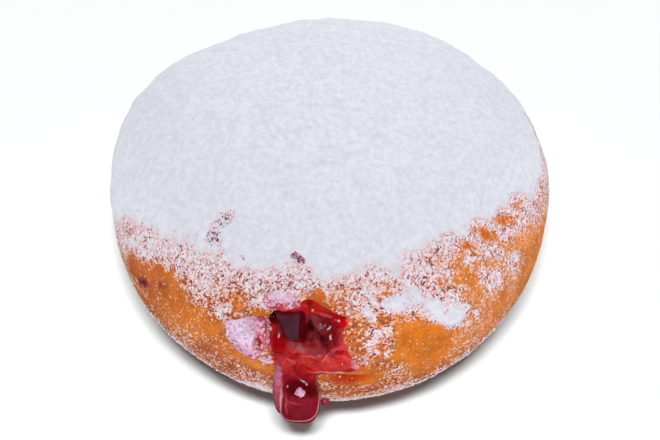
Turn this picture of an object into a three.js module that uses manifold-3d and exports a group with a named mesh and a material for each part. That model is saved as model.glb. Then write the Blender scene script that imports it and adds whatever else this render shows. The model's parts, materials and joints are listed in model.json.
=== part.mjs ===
// A jam-filled doughnut: a round fried bun, uneven as dough is, with the hole in its side where it was filled,
// the jam that fills it and has run out of that hole, and the coat of powdered sugar on its top.
// Millimetres, +Z up. The origin is on the table under the bun's middle, and the filling hole faces -Y.

import * as THREE from "three";
import { mergeVertices } from "three/addons/utils/BufferGeometryUtils.js";
import Module from "manifold-3d";

const wasm = await Module();
wasm.setup();

const rad = THREE.MathUtils.degToRad;

// ---- driving dimensions -------------------------------------------------------------------------------

const bunRadius = 45;
const topHeight = 25; // from the widest level up to the crown
const underHeight = 26; // from the widest level down to where the round underside would end
const restLevel = 24.2; // the widest level above the table, where the flat of the underside lies
const topPower = 2.18; // 2 is an ellipse; more is squarer shoulders
const underPower = 2.35;
const crustUnevenness = 0.22;
const gap = 0.3; // between two pieces that lie on each other

const mouth = { azimuth: -96, elevation: 12.8, halfWidth: 6.6, halfHeight: 4.9, overhang: 0.4 };
const pocket = { halfWidth: 19, halfDepth: 17, halfHeight: 9, back: 3, level: 1.5, throatFlare: 1.15 };
const sugar = { thickness: 0.75, edgeThickness: 0.3, lumps: 0.15 };

// ---- the bun's form -----------------------------------------------------------------------------------

// Waves of the outline seen from above: order, depth and the azimuth of a crest.
const outlineWaves = [
  { order: 2, depth: 0.36, crest: 60 },
  { order: 3, depth: 0.77, crest: 37 },
];

// Broad swells (height above 0) and dents (below 0), each as wide as swellWidth degrees.
const swellWidth = 16;
const swells = [
  { azimuth: -178, elevation: 4, height: -0.5 },
  { azimuth: 161, elevation: 16, height: 1.4 },
  { azimuth: 143, elevation: 28, height: 0.7 },
  { azimuth: 122, elevation: 37, height: -0.9 },
  { azimuth: 83, elevation: 42, height: 0.6 },
  { azimuth: 47, elevation: 33, height: -0.4 },
  { azimuth: 23, elevation: 20, height: -0.45 },
  { azimuth: 7, elevation: 7, height: 0.3 },
];

// Crust that the filling nozzle tore and pushed out, and caked sugar, placed from the mouth's middle:
// across (right), up, half-size each way, height, and turn in degrees.
const reliefs = [
  { across: -11.4, up: -2.9, halfLong: 5, halfShort: 3.1, height: 2.6, turn: -45 }, // flap at the left
  { across: -4.1, up: 5, halfLong: 4.3, halfShort: 1.6, height: 1.8, turn: 7 }, // lip over the mouth
  { across: 4.4, up: 5.9, halfLong: 4.6, halfShort: 1.3, height: 0.6, turn: -33 }, // upper right of the tear
  { across: 8.9, up: -10.4, halfLong: 3.2, halfShort: 1.1, height: -1.1, turn: -13 }, // crease below the mouth
  { across: 8.6, up: -8.5, halfLong: 4.6, halfShort: 0.9, height: 0.7, turn: -7 }, // fold over the crease
  { across: 24.2, up: 0.8, halfLong: 5.6, halfShort: 2.7, height: 0.7, turn: -19 }, // caked sugar at the right
  { across: 14.4, up: 4, halfLong: 4.8, halfShort: 1.5, height: 0.4, turn: -10 }, // thinner sugar beside it
];

// A unit vector from its azimuth (from +X towards +Y) and its elevation, in degrees.
function aim(azimuth, elevation) {
  const a = rad(azimuth);
  const e = rad(elevation);
  return new THREE.Vector3(Math.cos(e) * Math.cos(a), Math.cos(e) * Math.sin(a), Math.sin(e));
}

const mouthOut = aim(mouth.azimuth, mouth.elevation);
const mouthAcross = new THREE.Vector3(0, 0, 1).cross(mouthOut).normalize();
const mouthUp = mouthOut.clone().cross(mouthAcross);

const swellAims = swells.map((s) => aim(s.azimuth, s.elevation));

// Shallow unevenness of fried dough, from three crossing waves: -1 to 1.
function unevenness(d) {
  const a = Math.sin(9 * d.x + 5 * d.z + 0.6) * Math.cos(8 * d.y - 3 * d.x);
  const b = Math.sin(13 * d.y - 6 * d.z + 2.1) * Math.cos(11 * d.z + 4 * d.x);
  const c = Math.sin(17 * d.x + 9 * d.y) * Math.cos(15 * d.z - 7 * d.y + 1.2);
  return 0.5 * a + 0.3 * b + 0.2 * c;
}

// Height of one relief at a place given by its distance across and up from the mouth: level on top, steep at its
// edge.
function reliefHeight(relief, across, up) {
  const t = rad(relief.turn);
  const dx = across - relief.across;
  const dy = up - relief.up;
  const long = (dx * Math.cos(t) + dy * Math.sin(t)) / relief.halfLong;
  const short = (dy * Math.cos(t) - dx * Math.sin(t)) / relief.halfShort;
  return relief.height * Math.exp(-((long * long + short * short) ** 2));
}

// The crust's distance from the bun's core in the direction d.
function crustRadius(d) {
  const azimuth = Math.atan2(d.y, d.x);
  let outline = bunRadius;
  for (const w of outlineWaves) outline += w.depth * Math.cos(w.order * (azimuth - rad(w.crest)));
  const above = d.z > 0;
  const power = above ? topPower : underPower;
  const level = Math.hypot(d.x, d.y) / outline;
  const upright = Math.abs(d.z) / (above ? topHeight : underHeight);
  let r = (level ** power + upright ** power) ** (-1 / power);
  swells.forEach((s, i) => {
    const off = d.angleTo(swellAims[i]) / rad(swellWidth);
    r += s.height * Math.exp(-off * off);
  });
  r += crustUnevenness * unevenness(d);
  if (d.dot(mouthOut) > 0) {
    const across = r * d.dot(mouthAcross);
    const up = r * d.dot(mouthUp);
    for (const relief of reliefs) r += reliefHeight(relief, across, up);
  }
  return r;
}

// The point that lies lift outside the crust in the direction d. It never goes below the table.
function crustPoint(d, lift) {
  const p = d.clone().multiplyScalar(crustRadius(d) + lift);
  p.z = Math.max(0, p.z + restLevel);
  return p;
}

// The direction of a place on the crust given by its distance across and up from the mouth's middle.
function fromMouth(across, up) {
  const out = Math.sqrt(bunRadius ** 2 - across ** 2 - up ** 2);
  return new THREE.Vector3()
    .addScaledVector(mouthOut, out)
    .addScaledVector(mouthAcross, across)
    .addScaledVector(mouthUp, up)
    .normalize();
}

// ---- solids -------------------------------------------------------------------------------------------

// A closed geometry as a solid that can be joined and cut.
function solid(geometry) {
  const bare = geometry.clone();
  bare.deleteAttribute("normal");
  bare.deleteAttribute("uv");
  const merged = mergeVertices(bare, 1e-4);
  return new wasm.Manifold(
    new wasm.Mesh({
      numProp: 3,
      vertProperties: new Float32Array(merged.attributes.position.array),
      triVerts: new Uint32Array(merged.index.array),
    }),
  );
}

function geometryOf(made) {
  const mesh = made.getMesh();
  const geometry = new THREE.BufferGeometry();
  geometry.setAttribute("position", new THREE.BufferAttribute(mesh.vertProperties, 3));
  geometry.setIndex(new THREE.BufferAttribute(mesh.triVerts, 1));
  return geometry;
}

function named(name, geometry, material) {
  const faceted = geometry.toNonIndexed();
  faceted.computeVertexNormals();
  const mesh = new THREE.Mesh(faceted, material);
  mesh.name = name;
  return mesh;
}

// A closed surface of rows of points. The first and last rows are single points, and each other row is a loop.
// Each four-sided stretch is split along its shorter diagonal.
function closedRows(rows) {
  const around = rows[1].length;
  const points = [rows[0][0], ...rows.slice(1, -1).flat(), rows.at(-1)[0]];
  const at = (row, k) => 1 + (row - 1) * around + (k % around);
  const last = points.length - 1;
  const faces = [];
  for (let k = 0; k < around; k++) {
    faces.push(0, at(1, k), at(1, k + 1));
    for (let row = 1; row < rows.length - 2; row++) {
      const [a, b, c, d] = [at(row, k), at(row + 1, k), at(row + 1, k + 1), at(row, k + 1)];
      if (points[a].distanceTo(points[c]) < points[b].distanceTo(points[d])) faces.push(a, b, c, a, c, d);
      else faces.push(a, b, d, b, c, d);
    }
    faces.push(last, at(rows.length - 2, k + 1), at(rows.length - 2, k));
  }
  const geometry = new THREE.BufferGeometry().setFromPoints(points);
  geometry.setIndex(faces);
  return geometry;
}

// The whole bun, grown by lift, with its facets drawn in around the mouth, where the form is finest.
function bunSolid(lift, detail = 14, drawnIn = 0.45) {
  const ball = new THREE.IcosahedronGeometry(1, detail);
  const position = ball.attributes.position;
  const d = new THREE.Vector3();
  const aside = new THREE.Vector3();
  for (let i = 0; i < position.count; i++) {
    d.fromBufferAttribute(position, i).normalize();
    const off = Math.acos(THREE.MathUtils.clamp(d.dot(mouthOut), -1, 1));
    aside.copy(d).addScaledVector(mouthOut, -Math.cos(off)).normalize();
    const nearer = off - drawnIn * Math.sin(off);
    d.copy(mouthOut).multiplyScalar(Math.cos(nearer)).addScaledVector(aside, Math.sin(nearer));
    const p = crustPoint(d, lift);
    position.setXYZ(i, p.x, p.y, p.z);
  }
  return solid(ball);
}

// A lumpy ball, pressed to its three half-sizes along the mouth's own directions.
function lump({ across, up, lift, halfAcross, halfUp, halfOut, rough, phase }, rows = 10, around = 16) {
  const centre = crustPoint(fromMouth(across, up), lift);
  const loops = [];
  for (let i = 0; i <= rows; i++) {
    const fall = (Math.PI * i) / rows;
    const loop = [];
    for (let k = 0; k < around; k++) {
      const turn = (2 * Math.PI * k) / around;
      const x = Math.sin(fall) * Math.cos(turn);
      const y = Math.sin(fall) * Math.sin(turn);
      const z = Math.cos(fall);
      const swell = 1 + rough * Math.sin(3 * x + 4 * y + phase) * Math.cos(4 * z - 3 * x + phase);
      loop.push(
        centre
          .clone()
          .addScaledVector(mouthAcross, halfAcross * swell * x)
          .addScaledVector(mouthUp, halfUp * swell * y)
          .addScaledVector(mouthOut, halfOut * swell * z),
      );
    }
    loops.push(loop);
  }
  return solid(closedRows(loops));
}

// ---- jam ----------------------------------------------------------------------------------------------

// The pocket in the middle of the bun and the way out to the mouth, grown by lift.
function fillingSolid(lift) {
  const middle = new THREE.Vector3(0, pocket.back, restLevel + pocket.level);
  const body = new THREE.SphereGeometry(1, 22, 12);
  body.scale(pocket.halfWidth + lift, pocket.halfDepth + lift, pocket.halfHeight + lift);
  body.rotateZ(rad(mouth.azimuth + 90));
  body.translate(middle.x, middle.y, middle.z);

  const door = crustPoint(mouthOut, mouth.overhang);
  const length = door.distanceTo(middle);
  const throat = new THREE.CylinderGeometry(1, pocket.throatFlare, length, 28, 1);
  throat.rotateX(Math.PI / 2); // its length along Z, the wide end inside
  throat.scale(mouth.halfWidth + lift, mouth.halfHeight + lift, 1);
  throat.applyMatrix4(new THREE.Matrix4().makeBasis(mouthAcross, mouthUp, mouthOut));
  throat.translate(...door.addScaledVector(mouthOut, -length / 2).toArray());
  return solid(body).add(solid(throat));
}

// Swellings of the jam in and round the mouth.
const jamLumps = [
  { across: 0.2, up: -0.8, lift: -1.4, halfAcross: 7.6, halfUp: 5.7, halfOut: 2.6, rough: 0.06, phase: 0.9 },
  { across: 4.6, up: 2.2, lift: -0.2, halfAcross: 3.2, halfUp: 2.3, halfOut: 2, rough: 0.12, phase: 2.9 },
  { across: -5.4, up: -3, lift: -0.4, halfAcross: 2.1, halfUp: 3.2, halfOut: 2.1, rough: 0.1, phase: 4.1 },
  { across: 0.6, up: -5, lift: -0.6, halfAcross: 4.2, halfUp: 2.2, halfOut: 2, rough: 0.1, phase: 5.2 },
];

// The two dark pieces of fruit that the jam carries in the mouth.
const fruitPieces = [
  {
    name: "fruit_piece_left",
    shape: { across: -3.1, up: 0.5, lift: 0.8, halfAcross: 2.8, halfUp: 2.8, halfOut: 2, rough: 0.14, phase: 0.4 },
  },
  {
    name: "fruit_piece_right",
    shape: { across: 3, up: -1.3, lift: 0.8, halfAcross: 2.8, halfUp: 2.9, halfOut: 2, rough: 0.16, phase: 1.7 },
  },
];

// The same lump with lift more all round.
function grown(shape, lift) {
  const { halfAcross, halfUp, halfOut } = shape;
  return { ...shape, halfAcross: halfAcross + lift, halfUp: halfUp + lift, halfOut: halfOut + lift };
}

// The thin jam on the crust round the mouth: corners of its outline, across and up from the mouth.
const smearCorners = [
  [8.4, 2.2],
  [4.9, 3],
  [1.8, 4.2],
  [-0.8, 4.6],
  [-6.8, 2.6],
  [-7.6, -1.4],
  [-6.2, -5],
  [-5.8, -9.8],
  [0, -10.6],
  [4.6, -8.8],
  [10.8, -8],
  [7.6, -4.2],
  [7.4, -1],
];
const smearMiddle = [0.4, -2.8];
const smearThickness = 0.9;
const smearThinning = 0.85; // of the thickness, squared, towards its edge
const smearRoot = -1.2; // its back lies in the crust and is cut off

function smearSolid(rings = 6, around = 42) {
  const outline = new THREE.CatmullRomCurve3(
    smearCorners.map(([across, up]) => new THREE.Vector3(across, up, 0)),
    true,
    "centripetal",
  ).getPoints(around);
  const [x0, y0] = smearMiddle;
  const loop = (share, lift) =>
    outline.slice(0, around).map((p) => {
      const x = x0 + share * (p.x - x0);
      const y = y0 + share * (p.y - y0);
      return crustPoint(fromMouth(x, y), lift);
    });
  const rows = [];
  for (let i = 0; i <= rings; i++) {
    const share = i / rings;
    rows.push(loop(share, gap + smearThickness * Math.sqrt(1 - smearThinning * share * share)));
  }
  for (let i = rings; i >= 0; i--) rows.push(loop(i / rings, smearRoot));
  return solid(closedRows(rows));
}

// The drip that hangs from the smear: its ends, up from the mouth, and its half-sizes at the neck and the belly.
// It hangs off the crust by hang at its lower end.
const drip = { top: -6.6, bottom: -21.6, across: -1.4, sway: 0.5, hang: 2.4 };
const dripNeck = { halfWidth: 3.3, halfOut: 1.6 };
const dripBelly = { halfWidth: 4.85, halfOut: 4.7 };

function dripSolid(rows = 14, around = 20) {
  const loops = [];
  for (let i = 0; i <= rows; i++) {
    const fall = 0.5 - 0.5 * Math.cos((Math.PI * i) / rows); // closer rows at both ends
    const full = THREE.MathUtils.smoothstep(fall, 0.1, 0.6);
    const ends = Math.sqrt(Math.max(0, 1 - Math.abs(2 * fall - 1) ** 4));
    const halfWidth = ends * THREE.MathUtils.lerp(dripNeck.halfWidth, dripBelly.halfWidth, full);
    const halfOut = ends * THREE.MathUtils.lerp(dripNeck.halfOut, dripBelly.halfOut, full);
    const out = fromMouth(drip.across - drip.sway * fall, THREE.MathUtils.lerp(drip.top, drip.bottom, fall));
    const centre = crustPoint(out, drip.hang * fall * fall);
    const loop = [];
    for (let k = 0; k < around; k++) {
      const turn = (-2 * Math.PI * k) / around;
      loop.push(
        centre
          .clone()
          .addScaledVector(mouthAcross, halfWidth * Math.cos(turn))
          .addScaledVector(out, halfOut * Math.sin(turn)),
      );
    }
    loops.push(loop);
  }
  return solid(closedRows(loops));
}

// A solid with room cut out of it for the fruit pieces.
function roomForFruit(made) {
  return fruitPieces.reduce((rest, { shape }) => rest.subtract(lump(grown(shape, gap))), made);
}

function jamSolid() {
  const outside = [smearSolid(), dripSolid(), ...jamLumps.map((shape) => lump(shape))]
    .reduce((all, next) => all.add(next))
    .subtract(bunSolid(gap));
  return roomForFruit(outside.add(fillingSolid(0)));
}

function doughSolid() {
  return roomForFruit(bunSolid(0).subtract(fillingSolid(gap)));
}

// ---- powdered sugar -----------------------------------------------------------------------------------

// How far down the coat reaches, as an elevation seen from the bun's core. It stops high over the mouth, reaches
// lower at the back, and hangs lowest at the left.
const edge = { back: 8, frontRise: 18, frontAzimuth: -85, frontWidth: 70 };
const edgeDip = { depth: 8, azimuth: -178, width: 18 };
const edgeWaves = [
  { order: 7, depth: 1, crest: 12 },
  { order: 11, depth: 0.9, crest: 5 },
];

function sugarEdge(azimuth) {
  const from = (middle) => Math.atan2(Math.sin(azimuth - rad(middle)), Math.cos(azimuth - rad(middle)));
  const front = Math.exp(-((from(edge.frontAzimuth) / rad(edge.frontWidth)) ** 4));
  const dip = Math.exp(-((from(edgeDip.azimuth) / rad(edgeDip.width)) ** 2));
  let level = edge.back + edge.frontRise * front - edgeDip.depth * dip;
  for (const w of edgeWaves) level += w.depth * Math.cos(w.order * (azimuth - rad(w.crest)));
  return rad(level);
}

// A closed shell that lies over the crust from the crown down to the uneven edge.
function sugarSolid(rings = 14, around = 60) {
  const loop = (share, inner) => {
    const points = [];
    for (let k = 0; k < around; k++) {
      const azimuth = (2 * Math.PI * k) / around;
      const fromCrown = share * (Math.PI / 2 - sugarEdge(azimuth));
      const d = new THREE.Vector3(
        Math.sin(fromCrown) * Math.cos(azimuth),
        Math.sin(fromCrown) * Math.sin(azimuth),
        Math.cos(fromCrown),
      );
      const taper = Math.sqrt(Math.max(0, 1 - share ** 6));
      const bumps = sugar.lumps * unevenness(d.clone().multiplyScalar(1.9));
      const thickness = THREE.MathUtils.lerp(sugar.edgeThickness, sugar.thickness, taper) + taper * bumps;
      points.push(crustPoint(d, inner ? gap : gap + thickness));
    }
    return points;
  };
  const rows = [];
  for (let i = 0; i <= rings; i++) rows.push(loop(i / rings, false));
  for (let i = rings; i >= 0; i--) rows.push(loop(i / rings, true));
  return solid(closedRows(rows));
}

// ---- the doughnut -------------------------------------------------------------------------------------

const crustMaterial = new THREE.MeshStandardMaterial({ color: 0xd0803c, roughness: 0.55, metalness: 0 });
const jamMaterial = new THREE.MeshStandardMaterial({ color: 0x960b18, roughness: 0.15, metalness: 0 });
const fruitMaterial = new THREE.MeshStandardMaterial({ color: 0x481f2c, roughness: 0.3, metalness: 0 });
const sugarMaterial = new THREE.MeshStandardMaterial({ color: 0xe9eaf0, roughness: 1, metalness: 0 });

const doughnut = new THREE.Group();
doughnut.add(
  named("dough", geometryOf(doughSolid()), crustMaterial),
  named("jam_filling", geometryOf(jamSolid()), jamMaterial),
  ...fruitPieces.map(({ name, shape }) => named(name, geometryOf(lump(shape)), fruitMaterial)),
  named("sugar_coat", geometryOf(sugarSolid()), sugarMaterial),
);

export default doughnut;
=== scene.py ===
import json

import bpy
import numpy as np
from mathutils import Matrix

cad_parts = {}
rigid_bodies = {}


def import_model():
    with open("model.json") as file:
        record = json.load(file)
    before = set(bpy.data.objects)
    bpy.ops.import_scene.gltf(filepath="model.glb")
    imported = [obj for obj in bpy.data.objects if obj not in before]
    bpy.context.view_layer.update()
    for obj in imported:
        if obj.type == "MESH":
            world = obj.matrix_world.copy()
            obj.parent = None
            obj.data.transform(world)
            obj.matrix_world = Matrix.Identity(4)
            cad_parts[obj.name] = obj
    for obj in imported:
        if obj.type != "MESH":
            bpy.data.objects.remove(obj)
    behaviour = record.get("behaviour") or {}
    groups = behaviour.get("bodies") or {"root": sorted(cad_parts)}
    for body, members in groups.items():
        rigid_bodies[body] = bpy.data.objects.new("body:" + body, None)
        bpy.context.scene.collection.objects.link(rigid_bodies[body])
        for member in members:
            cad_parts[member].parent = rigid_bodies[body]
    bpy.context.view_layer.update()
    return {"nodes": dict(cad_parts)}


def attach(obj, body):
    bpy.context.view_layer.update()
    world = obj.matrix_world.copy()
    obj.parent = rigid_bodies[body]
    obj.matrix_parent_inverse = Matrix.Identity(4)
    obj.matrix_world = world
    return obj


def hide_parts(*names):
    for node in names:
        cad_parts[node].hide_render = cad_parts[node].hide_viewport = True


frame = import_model()
mm = 0.001  # all sizes below are in millimetres, and angles in degrees
print("frame loaded", sorted(frame["nodes"]))

# ---- the bun's form, the same as in the solids

bun = {
    "radius": 45,
    "topHeight": 25,  # from the widest level up to the crown
    "underHeight": 26,  # down to where the round underside would end
    "restLevel": 24.2,  # the widest level above the table
    "topPower": 2.18,
    "underPower": 2.35,
    "unevenness": 0.22,
    "swellWidth": 16,
    "skin": 0.06,  # depth of the fine wrinkles of the fried skin
    "wrinkles": [(2.6, 3, 1), (0.9, 4, 0.6)],  # size, seed and weight of each pattern
}
outlineWaves = [(2, 0.36, 60), (3, 0.77, 37)]  # order, depth, azimuth of the crest
swells = [  # azimuth, elevation, height
    (-178, 4, -0.5),
    (161, 16, 1.4),
    (143, 28, 0.7),
    (122, 37, -0.9),
    (83, 42, 0.6),
    (47, 33, -0.4),
    (23, 20, -0.45),
    (7, 7, 0.3),
]
reliefs = [  # across and up from the mouth, half length, half width, turn, height
    (-11.4, -2.9, 5.0, 3.1, -45, 2.6),  # flap at the left
    (-4.1, 5.0, 4.3, 1.6, 7, 1.8),  # lip over the mouth
    (4.4, 5.9, 4.6, 1.3, -33, 0.6),  # upper right of the tear
    (8.9, -10.4, 3.2, 1.1, -13, -1.1),  # crease below the mouth
    (8.6, -8.5, 4.6, 0.9, -7, 0.7),  # fold over the crease
    (24.2, 0.8, 5.6, 2.7, -19, 0.7),  # caked sugar at the right
    (14.4, 4.0, 4.8, 1.5, -10, 0.4),  # thinner sugar beside it
]


def unit(v):
    return v / np.linalg.norm(v, axis=-1, keepdims=True)


def aim(azimuth, elevation):
    a, e = np.radians(azimuth), np.radians(elevation)
    return np.stack([np.cos(e) * np.cos(a), np.cos(e) * np.sin(a), np.sin(e)], axis=-1)


def smoothStep(x, low, high):
    t = np.clip((x - low) / (high - low), 0, 1)
    return t * t * (3 - 2 * t)


def mix(a, b, share):
    return a + (b - a) * share


mouthOut = aim(-96, 12.8)  # azimuth and elevation of the filling hole
mouthAcross = unit(np.cross([0, 0, 1], mouthOut))
mouthUp = np.cross(mouthOut, mouthAcross)
bunCentre = np.array([0, 0, bun["restLevel"]])


def anglesOf(d):
    azimuth = np.degrees(np.arctan2(d[..., 1], d[..., 0]))
    return azimuth, np.degrees(np.arcsin(np.clip(d[..., 2], -1, 1)))


# 1 round an azimuth, falling to 0 on both sides of it
def bell(azimuth, middle, width, power=2):
    off = (azimuth - middle + 180) % 360 - 180
    return np.exp(-((off / width) ** power))


# how far across and up from the mouth's middle each point lies
def acrossAndUp(points):
    local = points - bunCentre
    return local @ mouthAcross, local @ mouthUp


noiseCells = 32  # along each side of the grid of random values, before it comes again
octaveShift = 7.3  # so that finer cells don't line up with the coarse ones


# random values on the corners of a grid of cells, eased between them, then the same at half the size
def mottle(points, size, seed, octaves=2):
    table = np.random.default_rng(seed).uniform(-1, 1, noiseCells**3)
    total, weight = 0, 0
    for octave in range(octaves):
        cell = points * (2**octave / size) + octaveShift * octave
        low = np.floor(cell)
        ease = cell - low
        ease = ease * ease * (3 - 2 * ease)
        low = low.astype(np.int64) % noiseCells
        high = (low + 1) % noiseCells
        x, y, z = ease[..., 0], ease[..., 1], ease[..., 2]
        sides = []
        for layer in (low[..., 2], high[..., 2]):
            for row in (low[..., 1], high[..., 1]):
                at = (layer * noiseCells + row) * noiseCells
                sides.append(mix(table[at + low[..., 0]], table[at + high[..., 0]], x))
        total = total + mix(mix(sides[0], sides[1], y), mix(sides[2], sides[3], y), z) * 0.5**octave
        weight += 0.5**octave
    return total / weight


# 1 inside an ellipse with the given half sizes and turn, falling to 0 just outside it
def spot(x, y, middleX, middleY, halfLong, halfShort, turn, power=2):
    t = np.radians(turn)
    dx, dy = x - middleX, y - middleY
    along = (dx * np.cos(t) + dy * np.sin(t)) / halfLong
    aside = (dy * np.cos(t) - dx * np.sin(t)) / halfShort
    return np.exp(-((along**2 + aside**2) ** power))


# the same ellipse on the bun, round an azimuth and elevation, turned from the level direction there
def spotOn(d, place):
    azimuth, elevation, halfLong, halfShort, turn = place
    middle = aim(azimuth, elevation)
    east = unit(np.cross([0, 0, 1], middle))
    north = np.cross(middle, east)
    x, y = bun["radius"] * (d @ east), bun["radius"] * (d @ north)
    return np.where(d @ middle > 0.5, spot(x, y, 0, 0, halfLong, halfShort, turn), 0)  # on this side only


# points pushed about by up to the reach, so that what is laid out with them gets ragged edges
def pushAbout(points, reach, size, seed, octaves=2):
    shift = [mottle(points, size, seed + k, octaves) for k in range(3)]
    return points + reach * np.stack(shift, axis=-1)


# several mottles laid over one another: the size, seed and weight of each
def layered(points, layers):
    return sum(weight * mottle(points, size, seed) for size, seed, weight in layers)


# flat places as points, so that patterns can run through them
def inPlane(x, y):
    return np.stack([x, y, 0 * x], axis=-1)


# a spot round the mouth, on that side of the bun only
def nearMouth(d, *place):
    shape = spot(bun["radius"] * (d @ mouthAcross), bun["radius"] * (d @ mouthUp), *place)
    return np.where(d @ mouthOut > 0, shape, 0)


# a list of places painted over a colour one after another, each with its own colour and strength
def painted(colour, rows, shapeAt):
    for *place, tint, strength in rows:
        colour = mix(colour, tint, (strength * shapeAt(place))[..., None])
    return colour


# three crossed waves, each finer than the one before
def unevenness(d):
    x, y, z = d[..., 0], d[..., 1], d[..., 2]
    a = np.sin(9 * x + 5 * z + 0.6) * np.cos(8 * y - 3 * x)
    b = np.sin(13 * y - 6 * z + 2.1) * np.cos(11 * z + 4 * x)
    c = np.sin(17 * x + 9 * y) * np.cos(15 * z - 7 * y + 1.2)
    return 0.5 * a + 0.3 * b + 0.2 * c


# all the reliefs by the mouth together
def reliefAt(across, up):
    return sum(height * spot(across, up, *place) for *place, height in reliefs)


# a superellipse of revolution with a wavy outline, then swells, unevenness and the reliefs by the mouth
def crustRadius(d, withReliefs=True):
    azimuth = np.arctan2(d[..., 1], d[..., 0])
    outline = bun["radius"]
    for order, depth, crest in outlineWaves:
        outline = outline + depth * np.cos(order * (azimuth - np.radians(crest)))
    above = d[..., 2] > 0
    power = np.where(above, bun["topPower"], bun["underPower"])
    level = np.hypot(d[..., 0], d[..., 1]) / outline
    upright = np.abs(d[..., 2]) / np.where(above, bun["topHeight"], bun["underHeight"])
    r = (level**power + upright**power) ** (-1 / power)
    for azimuthOf, elevationOf, height in swells:
        off = np.degrees(np.arccos(np.clip(d @ aim(azimuthOf, elevationOf), -1, 1)))
        r = r + height * np.exp(-((off / bun["swellWidth"]) ** 2))
    r = r + bun["unevenness"] * unevenness(d)
    if withReliefs:
        r = r + np.where(d @ mouthOut > 0, reliefAt(r * (d @ mouthAcross), r * (d @ mouthUp)), 0)
    return r + bun["skin"] * layered(bun["radius"] * d, bun["wrinkles"])


def crustPoint(d, lift=0, withReliefs=True):
    p = d * (crustRadius(d, withReliefs) + lift)[..., None]
    p[..., 2] = np.maximum(0, p[..., 2] + bun["restLevel"])
    return p


def fromMouth(across, up):
    out = np.sqrt(bun["radius"] ** 2 - across**2 - up**2)
    return unit(out[..., None] * mouthOut + across[..., None] * mouthAcross + up[..., None] * mouthUp)


# ---- making meshes


# a piece from points in millimetres and its faces, turned so that they all point outwards
def makePiece(name, points, faces, values=None, smooth=True):
    points = np.asarray(points, float).reshape(-1, 3)
    volume = 0
    for group in faces:
        for k in range(1, group.shape[1] - 1):
            a, b, c = points[group[:, 0]], points[group[:, k]], points[group[:, k + 1]]
            volume += np.einsum("ij,ij->i", a, np.cross(b, c)).sum()
    if volume < 0:
        faces = [group[:, ::-1] for group in faces]
    sizes = np.concatenate([np.full(len(group), group.shape[1]) for group in faces])
    corners = np.concatenate([group.ravel() for group in faces])
    mesh = bpy.data.meshes.new(name)
    mesh.vertices.add(len(points))
    mesh.vertices.foreach_set("co", (points * mm).ravel())
    mesh.loops.add(len(corners))
    mesh.loops.foreach_set("vertex_index", corners.astype(np.int32))
    mesh.polygons.add(len(sizes))
    mesh.polygons.foreach_set("loop_start", np.concatenate([[0], np.cumsum(sizes)[:-1]]).astype(np.int32))
    mesh.polygons.foreach_set("use_smooth", np.full(len(sizes), smooth))
    mesh.update(calc_edges=True)
    mesh.validate()
    setValues(mesh, values or {})
    piece = bpy.data.objects.new(name, mesh)
    bpy.context.scene.collection.objects.link(piece)
    return piece


# one number or one colour for each point, which the materials read by its name
def setValues(mesh, values):
    for name, value in values.items():
        value = np.asarray(value, float)
        if value.shape[-1:] == (3,):
            value = np.concatenate([value, np.ones(value.shape[:-1] + (1,))], axis=-1)
            mesh.attributes.new(name, "FLOAT_COLOR", "POINT").data.foreach_set("color", value.ravel())
        else:
            mesh.attributes.new(name, "FLOAT", "POINT").data.foreach_set("value", value.ravel())


# a grid of rows that close round, with its first and last rows drawn together to one point each
def closedRows(rows):
    count, around = rows.shape[:2]
    points = np.concatenate([rows[:1, 0], rows[1:-1].reshape(-1, 3), rows[-1:, 0]])
    k = np.arange(around)
    after = (k + 1) % around
    first = 1 + np.arange(count - 3)[:, None] * around
    quads = np.stack([first + k, first + around + k, first + around + after, first + after], axis=-1)
    last = 1 + (count - 3) * around
    caps = [
        np.stack([np.zeros(around, int), 1 + k, 1 + after], axis=-1),
        np.stack([np.full(around, len(points) - 1), last + after, last + k], axis=-1),
    ]
    return points, [quads.reshape(-1, 4), np.concatenate(caps)]


# a grid that closes both ways, like a hoop
def hoop(rows):
    count, around = rows.shape[:2]
    row, k = np.meshgrid(np.arange(count), np.arange(around), indexing="ij")
    ring, nextRing, after = row * around, (row + 1) % count * around, (k + 1) % around
    quads = np.stack([ring + k, nextRing + k, nextRing + after, ring + after], axis=-1)
    return rows.reshape(-1, 3), [quads.reshape(-1, 4)]


# a mesh's own points in millimetres
def pointsOf(mesh):
    co = np.zeros(len(mesh.vertices) * 3)
    mesh.vertices.foreach_get("co", co)
    return co.reshape(-1, 3) / mm


# ---- where the sugar lies

edge = {"back": 5, "frontRise": 17, "frontAzimuth": -85, "frontWidth": 70}
edgeDip = {"depth": 8, "azimuth": -178, "width": 18}
edgeWaves = [(7, 1, 12), (11, 0.9, 5)]  # order, depth, azimuth of the crest
edgeTongues = [  # azimuth, width, rise
    (-91, 4.5, -4.5),
    (-69, 6, -0.5),
    (-132, 7, -2.0),
    (-101, 4, 2.5),
    (-77, 3.5, 3.0),
]

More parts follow.
